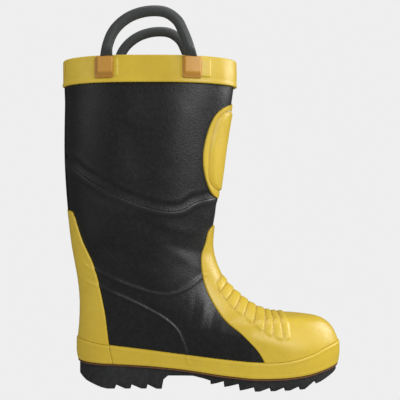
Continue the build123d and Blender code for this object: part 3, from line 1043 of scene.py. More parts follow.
@dataclass
class Dresser:
    """Gives pieces their finishes, bodies and stand-ins, and reports each one."""

    made: dict[str, bpy.types.Material] = field(default_factory=dict)

    def material(self, slot: str) -> bpy.types.Material:
        """The material of a slot, made once.

        Args:
            slot: The slot's name.

        Returns:
            Its material.
        """
        if slot not in self.made:
            self.made[slot] = FINISHES[slot].build()
        return self.made[slot]

    def dress(
        self, piece: bpy.types.Object, slot: str, nodes: Sequence[str], body: str | None = "boot"
    ) -> None:
        """Finishes a piece and ties it to the frame.

        Args:
            piece: The piece.
            slot: The material slot it takes its finish from.
            nodes: The solid nodes it stands for.
            body: The body it rides on, or None to leave it untied.
        """
        piece.data.materials.append(self.material(slot))
        if body is not None:
            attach(piece, body)
        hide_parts(*nodes)
        log.info("%s: %d faces, stands for %s", piece.name, len(piece.data.polygons), ", ".join(nodes))

    def finish_solids(self) -> None:
        """Gives every carried-over solid the finish of its own slot."""
        for entry in frame["record"]["subparts"]:
            node = frame["nodes"][entry["node"]]
            node.data.materials.clear()
            node.data.materials.append(self.material(entry["material_slot"]))


DRESSER = Dresser()


# --------------------------------------------------------------------------------------- the pieces


def edge_angles(limit: Array, speed: Array, count: int, border: Sequence[float]) -> Array:
    """Angles across each row of a patch, closer together near its two edges.

    Args:
        limit: Half the patch's angle on each row.
        speed: Millimetres for each radian at the edge of each row.
        count: Even steps between the borders.
        border: Distances of the extra columns from an edge, in millimetres, smallest first.

    Returns:
        One row of angles from minus to plus the limit for each limit.
    """
    reach = border[-1] / np.maximum(speed, 1.0)
    squeeze = np.minimum(1.0, 0.5 * limit / np.maximum(reach, 1e-6))
    inner = (limit - reach * squeeze)[:, None] * np.linspace(-1.0, 1.0, count)[None, :]
    steps = np.asarray(border[:-1])[None, :] / np.maximum(speed, 1.0)[:, None] * squeeze[:, None]
    right = limit[:, None] - steps[:, ::-1]
    return np.concatenate([-right[:, ::-1], inner, right], axis=1)


@dataclass(frozen=True)
class Upper:
    """The black rubber: shaft, foot and the stay over the back seam."""

    wall: float = 3.0
    columns: int = 540
    foot_ring: float = 11.0
    shaft_ring: float = 20.0
    shaft_top: float = 366.8
    cut_radius: float = 0.7
    lip_height: float = 0.9
    lip_drop: float = 3.0
    # The furrow's bumps: height, distance over the ply line, width.
    furrow_bumps: tuple[tuple[float, float, float], ...] = (
        (0.4, 0.0, 1.8), (-0.45, 6.5, 3.2), (0.25, 12.0, 3.6),
    )
    stay_height: float = 1.4
    stay_bed: float = 0.02
    stay_round: float = 1.1
    stay_half: float = 9.0
    stay_low: float = 198.0
    stay_high: float = 339.8
    cement: float = 0.2

    def sleeve(
        self, name: str, low: Array, high: Array, theta: Array, rows: Array, lift: Callable[[Array], Array]
    ) -> bpy.types.Object:
        """A closed tube of rubber: the form plus relief and lift outside, and less the wall inside.

        Args:
            name: The piece's name.
            low: The lower edge's ring number at each angle.
            high: The upper edge's ring number at each angle.
            theta: The angles.
            rows: Shares of the way from the lower to the upper edge.
            lift: Gives the extra height at points of the form.

        Returns:
            The new object.
        """
        place = low[None, :] + rows[:, None] * (high - low)[None, :]
        angle = np.broadcast_to(theta, place.shape)
        bare = FORM.point(angle, place)
        mark = RELIEF.at(bare) + lift(bare)
        outer = FORM.skin(angle, place, mark)
        inner_rows = np.linspace(1.0, 0.0, 8)
        inside = low[None, :] + inner_rows[:, None] * (high - low)[None, :]
        inner = FORM.skin(np.broadcast_to(theta, inside.shape), inside, -self.wall)
        marks = np.concatenate([mark, np.zeros(inside.shape)])
        return ring_piece(name, np.concatenate([outer, inner]), marks)

    def foot(self) -> bpy.types.Object:
        """The lower rubber. Its top edge is a raised lip that follows the ply line.

        Returns:
            The new object.
        """
        theta = FORM.even_angles(self.columns, self.foot_ring)
        low, high = FORM.place_of(FEATHER, theta), FORM.place_of(PLY_LINE, theta, -self.cement / 2)
        rows = spaced(0.0, 1.0, 166, (0.0, 0.001, 0.003, 0.006))

        def lip(at: Array) -> Array:
            """A ridge just under the edge, less a quarter circle at the edge itself.

            Args:
                at: Points of the form.

            Returns:
                The lip's height at each point.
            """
            off = PLY_LINE.above(at[..., 0], at[..., 2])
            raised = self.lip_height * ridge(off + self.lip_drop, self.lip_drop)
            return raised - self.cut_radius * (1.0 - rim(-off, self.cut_radius))

        return self.sleeve("foot_rubber", low, high, theta, rows, lip)

    def shaft(self) -> bpy.types.Object:
        """The upper rubber, with a soft furrow over the ply line.

        Returns:
            The new object.
        """
        theta = FORM.even_angles(self.columns, self.shaft_ring)
        low = FORM.place_of(PLY_LINE, theta, self.cement / 2)
        high = FORM.place_of(FLOOR_LEVEL, theta, self.shaft_top)
        rows = spaced(0.0, 1.0, 130, (0.0, 0.002, 0.005))

        def furrow(at: Array) -> Array:
            """The furrow's height at points of the form, as the sum of its bumps."""
            off = PLY_LINE.above(at[..., 0], at[..., 2])
            return sum(height * ridge(off - over, width) for height, over, width in self.furrow_bumps)

        return self.sleeve("shaft_rubber", low, high, theta, rows, furrow)

    def stay(self) -> bpy.types.Object:
        """The strip over the back seam: a flat band with rounded edges.

        Returns:
            The new object.
        """
        across = spaced(-self.stay_half, self.stay_half, 21, (0.0, 0.15, 0.4, 0.8, 1.3))
        heights = spaced(self.stay_low, self.stay_high, 90, (0.0, 0.3, 0.8))
        centre = np.full(len(heights), math.pi)
        place = np.array([FORM.place_of(FLOOR_LEVEL, centre[:1], z)[0] for z in heights])
        angle = math.pi + across[None, :] / FORM.speed(centre, place)[:, None]
        places = np.broadcast_to(place[:, None], angle.shape)
        edge = self.stay_half - np.abs(across)[None, :]
        top = np.minimum(heights - self.stay_low, self.stay_high - heights)[:, None]
        bare = RELIEF.at(FORM.point(angle, places))
        rise = (self.stay_height - self.cement) * rim(np.minimum(edge, top + 0.4), self.stay_round)
        outer = FORM.skin(angle, places, bare + self.cement + rise)
        inner = FORM.skin(angle, places, bare + self.stay_bed)
        return slab_piece("back_stay_strip", outer, inner, bare)

    def build(self) -> None:
        """Makes and dresses the three pieces."""
        DRESSER.dress(self.shaft(), "black_rubber", ["shaft_shell"])
        DRESSER.dress(self.foot(), "black_rubber", ["foot_shell"])
        DRESSER.dress(self.stay(), "black_rubber", ["back_stay"])


# The instep's grooves in side view, each from its lower end to its upper end.
GROOVES = (
    ((14.1, 114.5), (24.2, 126.1)),
    ((18.1, 103.7), (30.1, 117.2)),
    ((26.0, 95.0), (38.3, 109.0)),
    ((34.7, 84.8), (46.6, 102.3)),
    ((44.9, 77.9), (54.9, 95.9)),
    ((55.7, 70.5), (63.1, 89.9)),
    ((67.1, 62.6), (72.6, 84.6)),
    ((77.5, 57.4), (79.2, 81.7)),
    ((89.4, 53.4), (86.8, 80.5)),
)


@dataclass(frozen=True)
class Covers:
    """The yellow covers: instep and toe, heel strip and shin guard."""

    cover: float = 2.0
    cement: float = 0.2
    edge_radius: float = 1.3
    rib_height: float = 1.5
    rib_sink: float = 0.5
    rib_end: float = 0.16
    last_rib: float = 8.0
    groove_width: float = 1.0
    crest: float = 0.8
    piping_height: float = 0.2
    piping_at: float = 2.2
    dome_height: float = 3.7
    dome_slope: float = 5.0
    dome_furrow: float = 0.8
    furrow_at: float = -3.0
    knurl: float = 2.4
    knurl_height: float = 0.13
    least_angle: float = 0.004
    calm_edge: float = 3.0
    calm_width: float = 5.0
    vamp_top: float = 17.25
    heel_top: float = 18.62
    shin_low: float = 18.74
    shin_high: float = 21.88
    dome_low: float = 220.0
    dome_high: float = 312.0
    border: tuple[float, ...] = (0.0, 0.12, 0.35, 0.7, 1.2, 2.0, 3.2)

    def patch_grid(
        self, edge: SideLine, centre: float, low: SideLine | None, places: Array, count: int
    ) -> tuple[Array, Array, Array]:
        """The grid of a cover that wraps round the front or the back of the boot.

        Rows are rings. Each is cut off where it crosses the cover's upright edge, and the lowest rows bend
        smoothly onto the low line.

        Args:
            edge: The upright edge in side view.
            centre: 0 for a cover round the front, and pi for one round the back.
            low: The line that the lowest row lies on, if it isn't a ring.
            places: The rings' places, lowest first.
            count: Even columns across the cover.

        Returns:
            Angles, ring places, and distances from the upright edges.
        """
        crossing = FORM.angle_of(edge, places)
        limit = np.maximum(np.abs(crossing - centre), self.least_angle)
        speed = FORM.speed(crossing, places)
        offset = edge_angles(limit, speed, count, self.border)
        theta = centre + offset
        place = np.broadcast_to(places[:, None], theta.shape).copy()
        if low is not None:
            share = (places - places[0]) / (places[-1] - places[0])
            target = FORM.place_of(low, theta, self.cement)
            place = place + (target - places[0]) * ((1.0 - share) ** 5)[:, None]
        distance = (limit[:, None] - np.abs(offset)) * speed[:, None]
        return theta, place, distance

    def meeting(self, edge: SideLine, low: SideLine) -> float:
        """The ring place where an upright edge meets a low line.

        Args:
            edge: The upright edge.
            low: The low line.

        Returns:
            The ring number, after twelve rounds of going from one line to the other.
        """
        place = np.array([5.0])
        for _ in range(12):
            place = FORM.place_of(low, FORM.angle_of(edge, place), self.cement)
        return float(place[0])

    def cover_piece(
        self, name: str, theta: Array, place: Array, rise: Array, mark: Array
    ) -> bpy.types.Object:
        """A closed cover from its grid and its height over the rubber.

        Args:
            name: The piece's name.
            theta: Angles.
            place: Ring numbers.
            rise: Heights over the cement.
            mark: The relief kept for the finish.

        Returns:
            The new object.
        """
        bare = relief_at(theta, place)
        outer = FORM.skin(theta, place, bare + self.cement + rise)
        inner = FORM.skin(theta, place, bare + self.cement / 4.0)
        return slab_piece(name, outer, inner, mark + 0.3 * bare)

    def ribs(self, at: Array) -> tuple[Array, Array]:
        """The instep's ribs: between two grooves the height climbs slowly to the toe side and drops steeply.

        The distances to two neighbouring groove lines give the share of the way between them. The height is a
        quarter sine up to the crest and a quarter circle down from it, and ribs fade out at their lower ends.

        Args:
            at: Points of the form.

        Returns:
            The ribs' height from 0 to 1, and how close each point is to a groove, from 0 to 1.
        """
        x, z = at[..., 0], at[..., 2]
        behind, fade = [], []
        for (x0, z0), (x1, z1) in GROOVES:
            run_x, run_z = x1 - x0, z1 - z0
            length = math.hypot(run_x, run_z)
            behind.append(((x - x0) * run_z - (z - z0) * run_x) / length)
            fade.append(((x - x0) * run_x + (z - z0) * run_z) / length**2)
        behind.append(behind[-1] - self.last_rib)
        fade.append(fade[-1])
        crown, groove = np.zeros(x.shape), np.zeros(x.shape)
        for here, there, low, next_low in zip(behind, behind[1:], fade, fade[1:]):
            share = here / np.maximum(here - there, 0.5)
            end = eased(((1.0 - share) * low + share * next_low) / self.rib_end + 0.1)
            climb = np.sin(math.pi / 2.0 * np.clip(share / self.crest, 0.0, 1.0))
            drop = rim(1.0 - share, 1.0 - self.crest)
            crown = np.where((here >= 0.0) & (there < 0.0), climb * drop * end, crown)
            groove = np.maximum(groove, ridge(here, self.groove_width) * eased(low / self.rib_end + 0.2))
        return crown, groove

    def vamp(self) -> bpy.types.Object:
        """The instep and toe cover, with its ribs, which fade out at their lower ends.

        Returns:
            The new object.
        """
        start = self.meeting(VAMP_EDGE, FOXING_TOP)
        rib_low, rib_high = 9.0, 15.0
        under, among = np.linspace(start, rib_low, 46)[:-1], np.linspace(rib_low, rib_high, 165)[:-1]
        rows = np.concatenate([under, among, spaced(rib_high, self.vamp_top, 34)])
        theta, place, distance = self.patch_grid(VAMP_EDGE, 0.0, FOXING_TOP, rows, 186)
        at = FORM.point(theta, place)
        crown, groove = self.ribs(at)
        inside = eased((distance - self.calm_edge) / self.calm_width)
        rise = (self.cover - self.cement) * rim(distance, self.edge_radius)
        rise = rise + inside * (self.rib_height * crown - self.rib_sink * groove)
        # The grooves' negative mark darkens them with painted shadow lines; the crowns take the lighter crest
        # colour.
        mark = inside * (0.5 * crown - 1.2 * groove)
        return self.cover_piece("vamp_cover", theta, place, rise, mark)

    def heel(self) -> bpy.types.Object:
        """The strip up the heel.

        Returns:
            The new object.
        """
        start = self.meeting(HEEL_EDGE, FOXING_TOP)
        tip = 17.0
        rows = np.concatenate([np.linspace(start, tip, 120)[:-1], spaced(tip, self.heel_top, 30)])
        theta, place, distance = self.patch_grid(HEEL_EDGE, math.pi, FOXING_TOP, rows, 90)
        piping = self.piping_height * ridge(distance - self.piping_at, 0.9)
        rise = (self.cover - self.cement) * rim(distance, self.edge_radius) + piping
        return self.cover_piece("heel_cover", theta, place, rise, np.zeros(rise.shape))

    def shin(self) -> bpy.types.Object:
        """The shin guard: a flat rim, a furrow, and a padded dome inside it.

        Returns:
            The new object.
        """
        middle, half = (self.shin_low + self.shin_high) / 2.0, (self.shin_high - self.shin_low) / 2.0
        rows = middle - half * np.cos(np.linspace(0.0, math.pi, 200))
        theta, place, distance = self.patch_grid(SHIN_EDGE, 0.0, None, rows, 220)
        at = FORM.point(theta, place)
        inside = at[..., 0] - SHIN_DOME.x_at(at[..., 2])
        into = np.minimum(inside, np.minimum(at[..., 2] - self.dome_low, self.dome_high - at[..., 2]))
        pad = eased((into + 2.2) / self.dome_slope)
        flat = eased((distance - 1.2) / 1.5)
        furrow = self.dome_furrow * ridge(into - self.furrow_at, 1.1) * flat
        knurl = np.sin(TURN * at[..., 1] / self.knurl) * np.sin(TURN * at[..., 2] / self.knurl)
        rise = (self.cover - self.cement) * rim(distance, self.edge_radius)
        rise = rise + (self.dome_height - self.cover) * pad - furrow + self.knurl_height * knurl * pad
        # The negative mark round the dome's edge paints a shade line along the furrow; the dome itself takes a
        # little crest colour.
        mark = -0.5 * ridge(into + 2.6, 1.4) + 0.15 * pad
        return self.cover_piece("shin_cover", theta, place, rise, mark)

    def build(self) -> None:
        """Makes and dresses the three covers."""
        DRESSER.dress(self.vamp(), "yellow_rubber", ["vamp_guard"])
        DRESSER.dress(self.heel(), "yellow_rubber", ["heel_strip"])
        DRESSER.dress(self.shin(), "yellow_rubber", ["shin_guard"])


@dataclass(frozen=True)
class Foxing:
    """The yellow band above the sole, its heel length, and the line under it."""

    height: float = 2.8
    cement: float = 0.2
    welt: float = 1.6
    edge_radius: float = 1.2
    seam_gap: float = 0.0012
    piping_height: float = 0.25
    piping_at: float = 3.2
    toe_from: float = 92.0
    toe_reach: float = 22.0
    toe_height: float = 0.45

    def band_grid(self, centre: float, columns: int) -> tuple[Array, Array, Array, Array]:
        """The grid of a band between the feather and the foxing's top, cut off at the heel seam.

        Args:
            centre: 0 for the length round the front, and pi for the heel's.
            columns: Even columns along the band.

        Returns:
            Angles, ring places, distances from the lower and upper edges, and distances from the seam.
        """
        across = spaced(0.0, 1.0, 26, (0.0, 0.012, 0.03, 0.055, 0.09))
        turn = np.linspace(-1.0, 1.0, columns)
        place = np.full((len(across), columns), 4.5)
        for _ in range(4):
            crossing = FORM.angle_of(HEEL_SEAM, place)
            limit = np.abs(crossing - centre) - self.seam_gap
            theta = centre + turn[None, :] * limit
            low = FORM.place_of(FEATHER, theta, self.welt + self.cement)
            high = FORM.place_of(FOXING_TOP, theta)
            place = low + across[:, None] * (high - low)
        at = FORM.point(theta, place)
        over = at[..., 2] - FEATHER.z_at(at[..., 0]) - self.welt - self.cement
        under = FOXING_TOP.z_at(at[..., 0]) - at[..., 2]
        seam = (limit - np.abs(theta - centre)) * FORM.speed(theta, place)
        return theta, place, np.minimum(over, under), seam

    def band(self, name: str, centre: float, columns: int) -> bpy.types.Object:
        """One length of the foxing: rounded edges, a fine line near each, and a fuller toe.

        Args:
            name: The piece's name.
            centre: 0 for the length round the front, and pi for the heel's.
            columns: Even columns along the band.

        Returns:
            The new object.
        """
        theta, place, edge, seam = self.band_grid(centre, columns)
        at = FORM.point(theta, place)
        under = FOXING_TOP.z_at(at[..., 0]) - at[..., 2]
        toe = eased((at[..., 0] - self.toe_from) / self.toe_reach)
        rise = (self.height - self.cement) * rim(np.minimum(edge, seam + 0.35), self.edge_radius)
        line = self.piping_height * ridge(edge - self.piping_at, 0.8)
        line = line + self.toe_height * toe * ridge(under - 2.0, 1.5)
        bare = RELIEF.at(at)
        outer = FORM.skin(theta, place, bare + self.cement + rise + line)
        inner = FORM.skin(theta, place, bare + self.cement / 4.0)
        return slab_piece(name, outer, inner, line)

    def line(self) -> bpy.types.Object:
        """The thin line under the foxing, a small half-round all the way round.

        Returns:
            The new object.
        """
        theta = np.linspace(0.0, TURN, 420, endpoint=False)
        turn = np.linspace(0.0, TURN, 14, endpoint=False)
        rise = self.cement + (self.welt - self.cement) * (1.0 - np.cos(turn)) / 2.0
        lift = np.where(np.sin(turn) > 0.0, self.height + self.piping_height * np.sin(turn), self.cement)
        place = np.stack([FORM.place_of(FEATHER, theta, float(up)) for up in rise])
        angle = np.broadcast_to(theta, place.shape)
        grid = FORM.skin(angle, place, np.broadcast_to(lift[:, None], place.shape))
        return ring_piece("welt_strip", grid, np.zeros(place.shape))

    def build(self) -> None:
        """Makes and dresses both lengths and the line."""
        DRESSER.dress(self.band("foxing_strip", 0.0, 420), "yellow_rubber", ["foxing_band"])
        DRESSER.dress(self.band("heel_foxing_strip", math.pi, 140), "yellow_rubber", ["heel_foxing"])
        DRESSER.dress(self.line(), "rust_trim", ["welt_line"])


LOOP_X = (-104.5, -12.0)
TAB_X = (-107.0, -12.0)


@dataclass(frozen=True)
class Collar:
    """The yellow band round the top, with a patch over each loop end."""

    low: float = 340.0
    high: float = 370.0
    band: float = 2.8
    bead: float = 0.8
    bead_top: float = 4.4
    corner: float = 2.4
    inner_corner: float = 1.6
    inner: float = 5.8
    under: float = 367.0
    columns: int = 520
    ring_number: float = 23.0
    tab_half: float = 10.5
    tab_low: float = 344.5
    tab_high: float = 368.5
    boss_height: float = 1.1
    boss_edge: float = 1.6
    slit_y: float = -15.5
    slit_depth: float = 1.5

    def profile(self) -> Array:
        """The band's cross-section as (offset, height, outer share) rows round a loop.

        Returns:
            One row for each point of the loop.
        """
        turn = np.linspace(0.0, math.pi / 2.0, 7)
        edge = self.band + self.bead - 1.0
        lip = [(edge + math.sin(a), self.low + 1.0 - math.cos(a), 1.0) for a in turn[:-1]]
        heights = np.linspace(self.low + 1.0, self.high - self.corner, 34)
        bead = rim(self.low + self.bead_top - heights, self.bead_top - 1.0)
        wall = [(self.band + self.bead * share, z, 1.0) for share, z in zip(bead, heights)]
        cut, lap = self.corner, self.inner_corner
        out = [
            (self.band - cut * (1.0 - math.cos(a)), self.high - cut * (1.0 - math.sin(a)), 1.0 - a / 3.2)
            for a in turn[1:]
        ]
        over = [(offset, self.high, 0.0) for offset in (-1.2, -2.8)]
        into = [
            (-self.inner + lap * (1.0 - math.sin(a)), self.high - lap * (1.0 - math.cos(a)), 0.0)
            for a in turn
        ]
        back = [(-self.inner, self.under, 0.0), (0.2, self.under, 0.0), (0.2, self.low, 0.0)]
        return np.array(lip + wall + out + over + into + back)

    def bosses(self, at: Array) -> Array:
        """Raised pads round the patches: soft-edged blocks that reach further to the toe.

        Args:
            at: Points of the form.

        Returns:
            Heights over the band.
        """
        x, z = at[..., 0], at[..., 2]
        total = np.zeros(x.shape)
        for centre, ahead in zip(TAB_X, (15.5, 20.5)):
            sides = eased((x - centre + 12.5) / self.boss_edge) * eased((centre + ahead - x) / self.boss_edge)
            ends = eased((z - 346.0) / self.boss_edge) * eased((366.5 - z) / self.boss_edge)
            total = total + self.boss_height * sides * ends
        behind = (x < -120.0) * eased((z - 347.0) / 2.0) * eased((366.0 - z) / 2.0)
        slit = ridge(at[..., 1] - self.slit_y, 1.1) * behind
        waver = 0.18 * np.sin(x / 13.0) * np.sin(z / 9.0 + x / 21.0)
        return total - self.slit_depth * slit + waver

    def ring(self) -> bpy.types.Object:
        """The band itself.

        Returns:
            The new object.
        """
        theta = FORM.even_angles(self.columns, self.ring_number)
        rows = self.profile()
        place = np.stack([FORM.place_of(FLOOR_LEVEL, theta, float(z)) for z in rows[:, 1]])
        angle = np.broadcast_to(theta, place.shape)
        lift = self.bosses(FORM.point(angle, place)) * rows[:, 2:3]
        grid = FORM.skin(angle, place, rows[:, 0:1] + lift)
        return ring_piece("collar_ring", grid, np.minimum(lift, 0.0) * 1.2)

    def tab(self, side: Side, x: float, loop_x: float, name: str) -> bpy.types.Object:
        """A patch over a loop end: a rounded square that swells over the flattened loop.

        Args:
            side: The boot's side.
            x: The patch's middle.
            loop_x: The loop end's middle.
            name: The piece's name.

        Returns:
            The new object.
        """
        across = spaced(-1.0, 1.0, 40, (0.0, 0.012, 0.035, 0.07, 0.12))
        u, v = np.meshgrid(across, across)
        cut = 1.0 - 0.10 * np.abs(u * v) ** 8
        middle, half = (self.tab_low + self.tab_high) / 2.0, (self.tab_high - self.tab_low) / 2.0
        wide, tall = x + self.tab_half * u * cut, middle + half * v * cut
        place = self.places(tall)
        theta = -side.value * FORM.angle_at(wide, place)
        edge = (1.0 - np.maximum(np.abs(u), np.abs(v))) * self.tab_half
        over = eased((9.9 - np.abs(wide - loop_x)) / 2.6) * eased((tall - self.tab_low - 1.5) / 6.0)
        lift = self.band + 0.5 + 1.4 * rim(edge, 1.5) + 3.4 * over
        outer = FORM.skin(theta, place, lift)
        inner = FORM.skin(theta, place, self.band + 0.1)
        return slab_piece(name, outer, inner, 0.9 * over - 0.4)

    def places(self, z: Array) -> Array:
        """Ring places of heights in the collar, where the rings are level.

        Args:
            z: Heights.

        Returns:
            One ring number for each height.
        """
        heights = np.array([row[1] for row in STATIONS])
        steps = np.linspace(22.0, 25.0, 400)
        return np.interp(z, along(heights[:, None], steps)[:, 0], steps)

    def build(self) -> None:
        """Makes and dresses the band and its four patches."""
        DRESSER.dress(self.ring(), "yellow_rubber", ["collar_band"])
        for side in Side:
            for x, loop_x, end in zip(TAB_X, LOOP_X, ("rear", "front")):
                node = f"{side.label}_{end}_tab"
                DRESSER.dress(self.tab(side, x, loop_x, node + "_patch"), "orange_rubber", [node])


@dataclass(frozen=True)
class PullLoop:
    """One rubber pull loop, from its flattened ends in the patches to its round bow."""

    side: Side
    radius: float = 5.9
    out: float = 56.0
    foot_wide: float = 6.8
    foot_thick: float = 1.7
    flat_z: float = 366.0
    round_z: float = 378.5
    sections: int = 150
    facets: int = 36
    bend_half: float = 7.0
    seam_height: float = 0.035
    bow: tuple[Point, ...] = (
        (-105.5, 351.0), (-105.2, 364.0), (-103.4, 377.5), (-98.0, 392.0), (-88.5, 403.5),
        (-75.0, 412.0), (-58.0, 416.3), (-40.5, 415.2), (-27.5, 406.5), (-20.5, 393.5),
        (-14.6, 378.0), (-11.8, 364.0), (-11.5, 351.0),
    )

    def build(self) -> None:
        """Sweeps a section, a flat tongue that turns into a circle, along the bow and bends it at its feet."""
        steps = np.linspace(0.0, len(self.bow) - 1.0, self.sections)
        line = along(self.bow, steps)
        x, z = line[:, 0], line[:, 1]
        rounding = eased((z - self.flat_z) / (self.round_z - self.flat_z))
        wide = self.foot_wide + (self.radius - self.foot_wide) * rounding
        thick = self.foot_thick + (self.radius - self.foot_thick) * rounding
        place = COLLAR.places(np.minimum(z, 369.0))
        at = FORM.skin(FORM.angle_at(x, place), place, COLLAR.band + 0.6 + self.foot_thick)
        y = -at[:, 1] + (self.out + at[:, 1]) * rounding
        spine = np.stack([x, y * self.side.value, z], -1)
        run = np.gradient(spine, axis=0)
        run /= np.linalg.norm(run, axis=1, keepdims=True)
        outward = np.tile((0.0, float(self.side.value), 0.0), (self.sections, 1))
        across = np.cross(run, outward)
        across /= np.linalg.norm(across, axis=1, keepdims=True)
        outward = np.cross(across, run)
        turn = np.linspace(0.0, TURN, self.facets, endpoint=False)
        square = 0.5 + 0.5 * rounding[:, None]
        cosine = np.sign(np.cos(turn)) * np.abs(np.cos(turn))[None, :] ** square
        sine = np.sign(np.sin(turn)) * np.abs(np.sin(turn))[None, :] ** square
        seam = 1.0 + self.seam_height * ridge(turn - math.pi / 2.0, 0.12)[None, :]
        rings = (
            spine[:, None, :]
            + (cosine * wide[:, None])[..., None] * across[:, None, :]
            + (sine * seam * thick[:, None])[..., None] * outward[:, None, :]
        )
        mark = np.broadcast_to(0.4 * ridge(turn - math.pi / 2.0, 0.2), rings.shape[:2])
        name = self.side.label
        piece = tube_piece(f"{name}_pull_loop", rings, mark)
        DRESSER.dress(piece, "handle_rubber", [f"{name}_handle", f"{name}_handle_roots"], None)
        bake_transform(piece)


COLLAR = Collar()
HEEL_CLEATS = (-97.5, -80.0, -62.0, -45.0)
TOE_CLEATS = (
    (9.0, 7.0), (24.0, 4.5), (41.0, 1.0), (57.5, 0.0),
    (75.0, 0.0), (91.0, 0.0), (108.0, 0.0), (127.0, 4.5),
)
HEEL_BACK = ((-170.0, 16.0), (-138.0, 11.5), (-131.0, 7.5), (-113.0, 1.6), (-106.0, 0.0))
WAIST = ((-45.0, 9.0), (-38.0, 15.0), (-10.0, 15.6), (2.0, 13.0), (9.0, 11.0))
TREAD_END = ((157.0, 15.0), (190.0, 24.0))


# Points round a cross-section of the sole, from one upper corner down, under and back: the share of the
# half-width, the level, and how much of the corner's radius the point is drawn in by.
SOLE_SECTION = (
    (-1.0, "top", 0.0), (-1.0, "middle", 0.0), (-1.0, "edge", 0.0), (-1.0, "low", 0.35),
    (-1.0, "bottom", 1.0), (-0.66, "bottom", 0.0), (-0.33, "bottom", 0.0), (-1.12, "channel_edge", 0.0),
    (-1.0, "channel", 0.0), (0.0, "channel", 0.0), (1.0, "channel", 0.0), (1.12, "channel_edge", 0.0),
    (0.33, "bottom", 0.0), (0.66, "bottom", 0.0), (1.0, "bottom", 1.0), (1.0, "low", 0.35),
    (1.0, "edge", 0.0), (1.0, "middle", 0.0), (1.0, "top", 0.0), (0.5, "top", 0.0),
    (0.0, "top", 0.0), (-0.5, "top", 0.0),
)


@dataclass(frozen=True)
class Outsole:
    """The black sole: saw-tooth cleats across it, a channel along it, and a heel block."""

    out: float = 1.2
    heel_depth: float = 5.0
    toe_depth: float = 4.0
    cleat_flat: float = 6.0
    toe_lift: float = 1.2
    chamfer: float = 0.35
    channel_half: float = 3.5
    channel_depth: float = 3.0
    slope: float = 0.3
    back: float = -141.15
    front: float = 155.6

    def tread(self) -> tuple[Array, Array]:
        """The lower outline in side view with its corners cut, as x and z.

        Returns:
            The outline's x values and z values.
        """
        points = list(HEEL_BACK)
        previous = points[-1][0]
        for x in HEEL_CLEATS:
            start = max(previous + self.cleat_flat, x - self.cleat_flat)
            points += [(start, 0.0), (x, 0.0), (x + self.slope, self.heel_depth)]
            previous = x
        points = points[:-1] + [(WAIST[0][0] + self.slope, WAIST[0][1])] + list(WAIST[1:])
        for index, (x, tip) in enumerate(TOE_CLEATS):
            points += [(x + self.slope, tip), (x + self.cleat_flat, tip + self.toe_lift if tip else 0.0)]
            if index + 1 < len(TOE_CLEATS):
                x_next, tip_next = TOE_CLEATS[index + 1]
                points.append((x_next, max(tip, tip_next) + self.toe_depth))
        points = np.array(points + list(TREAD_END))
        ahead = np.diff(points, axis=0)
        length = np.maximum(np.hypot(ahead[:, 0], ahead[:, 1]), 1e-6)
        cut = np.minimum(self.chamfer, 0.3 * length)[:, None] * ahead / length[:, None]
        corners = np.stack([points[1:-1] - cut[:-1], points[1:-1] + cut[1:]], 1).reshape(-1, 2)
        outline = np.concatenate([points[:1], corners, points[-1:]])
        return np.maximum.accumulate(outline[:, 0] + 1e-4 * np.arange(len(outline))), outline[:, 1]

    def outline(self, x: Array) -> tuple[Array, Array]:
        """How far the sole reaches to the outer and the inner side at each x.

        Args:
            x: Places along the boot.

        Returns:
            The reach to the outer side and the reach to the inner side.
        """
        turn = np.linspace(0.0, math.pi, 900)
        reaches = []
        for sign in (1.0, -1.0):
            edge = FORM.skin(sign * turn, FORM.place_of(FEATHER, sign * turn), self.out)
            order = np.argsort(edge[:, 0])
            reaches.append(np.interp(x, edge[order, 0], edge[order, 1]))
        return reaches[0], reaches[1]

    def build(self) -> None:
        """Sets closed cross-sections side by side along the boot and dresses the sole."""
        tread_x, tread_z = self.tread()
        middle, half = (self.back + self.front) / 2.0, (self.front - self.back) / 2.0
        even = middle - half * np.cos(np.linspace(0.0, math.pi, 150))
        inside = tread_x[(tread_x > self.back + 0.5) & (tread_x < self.front - 0.5)]
        x = np.unique(np.concatenate([even, inside]))
        bottom = np.interp(x, tread_x, tread_z)
        top = FEATHER.z_at(x)
        outer, inner = self.outline(x)
        swing, half_wide = (outer + inner) / 2.0, (inner - outer) / 2.0
        channel = self.channel_half / np.maximum(half_wide, self.channel_half * 1.5)
        low_round = np.minimum(0.8, 0.2 * half_wide)
        levels = {
            "top": top,
            "middle": 0.55 * top + 0.45 * bottom,
            "edge": bottom + 1.6,
            "low": bottom + 0.35,
            "bottom": bottom,
            "channel": np.minimum(bottom + self.channel_depth, top - 4.0),
            "channel_edge": bottom,
        }
        rows = []
        for share, level, tuck in SOLE_SECTION:
            wide = share * (channel if level.startswith("channel") else 1.0)
            y = swing + half_wide * wide - np.sign(share) * tuck * low_round
            rows.append(np.stack([x, y, levels[level]], -1))
        rings = np.stack(rows, 1)
        piece = tube_piece("cleated_sole", rings, np.zeros(rings.shape[:2]))
        DRESSER.dress(piece, "sole_rubber", ["outsole"])


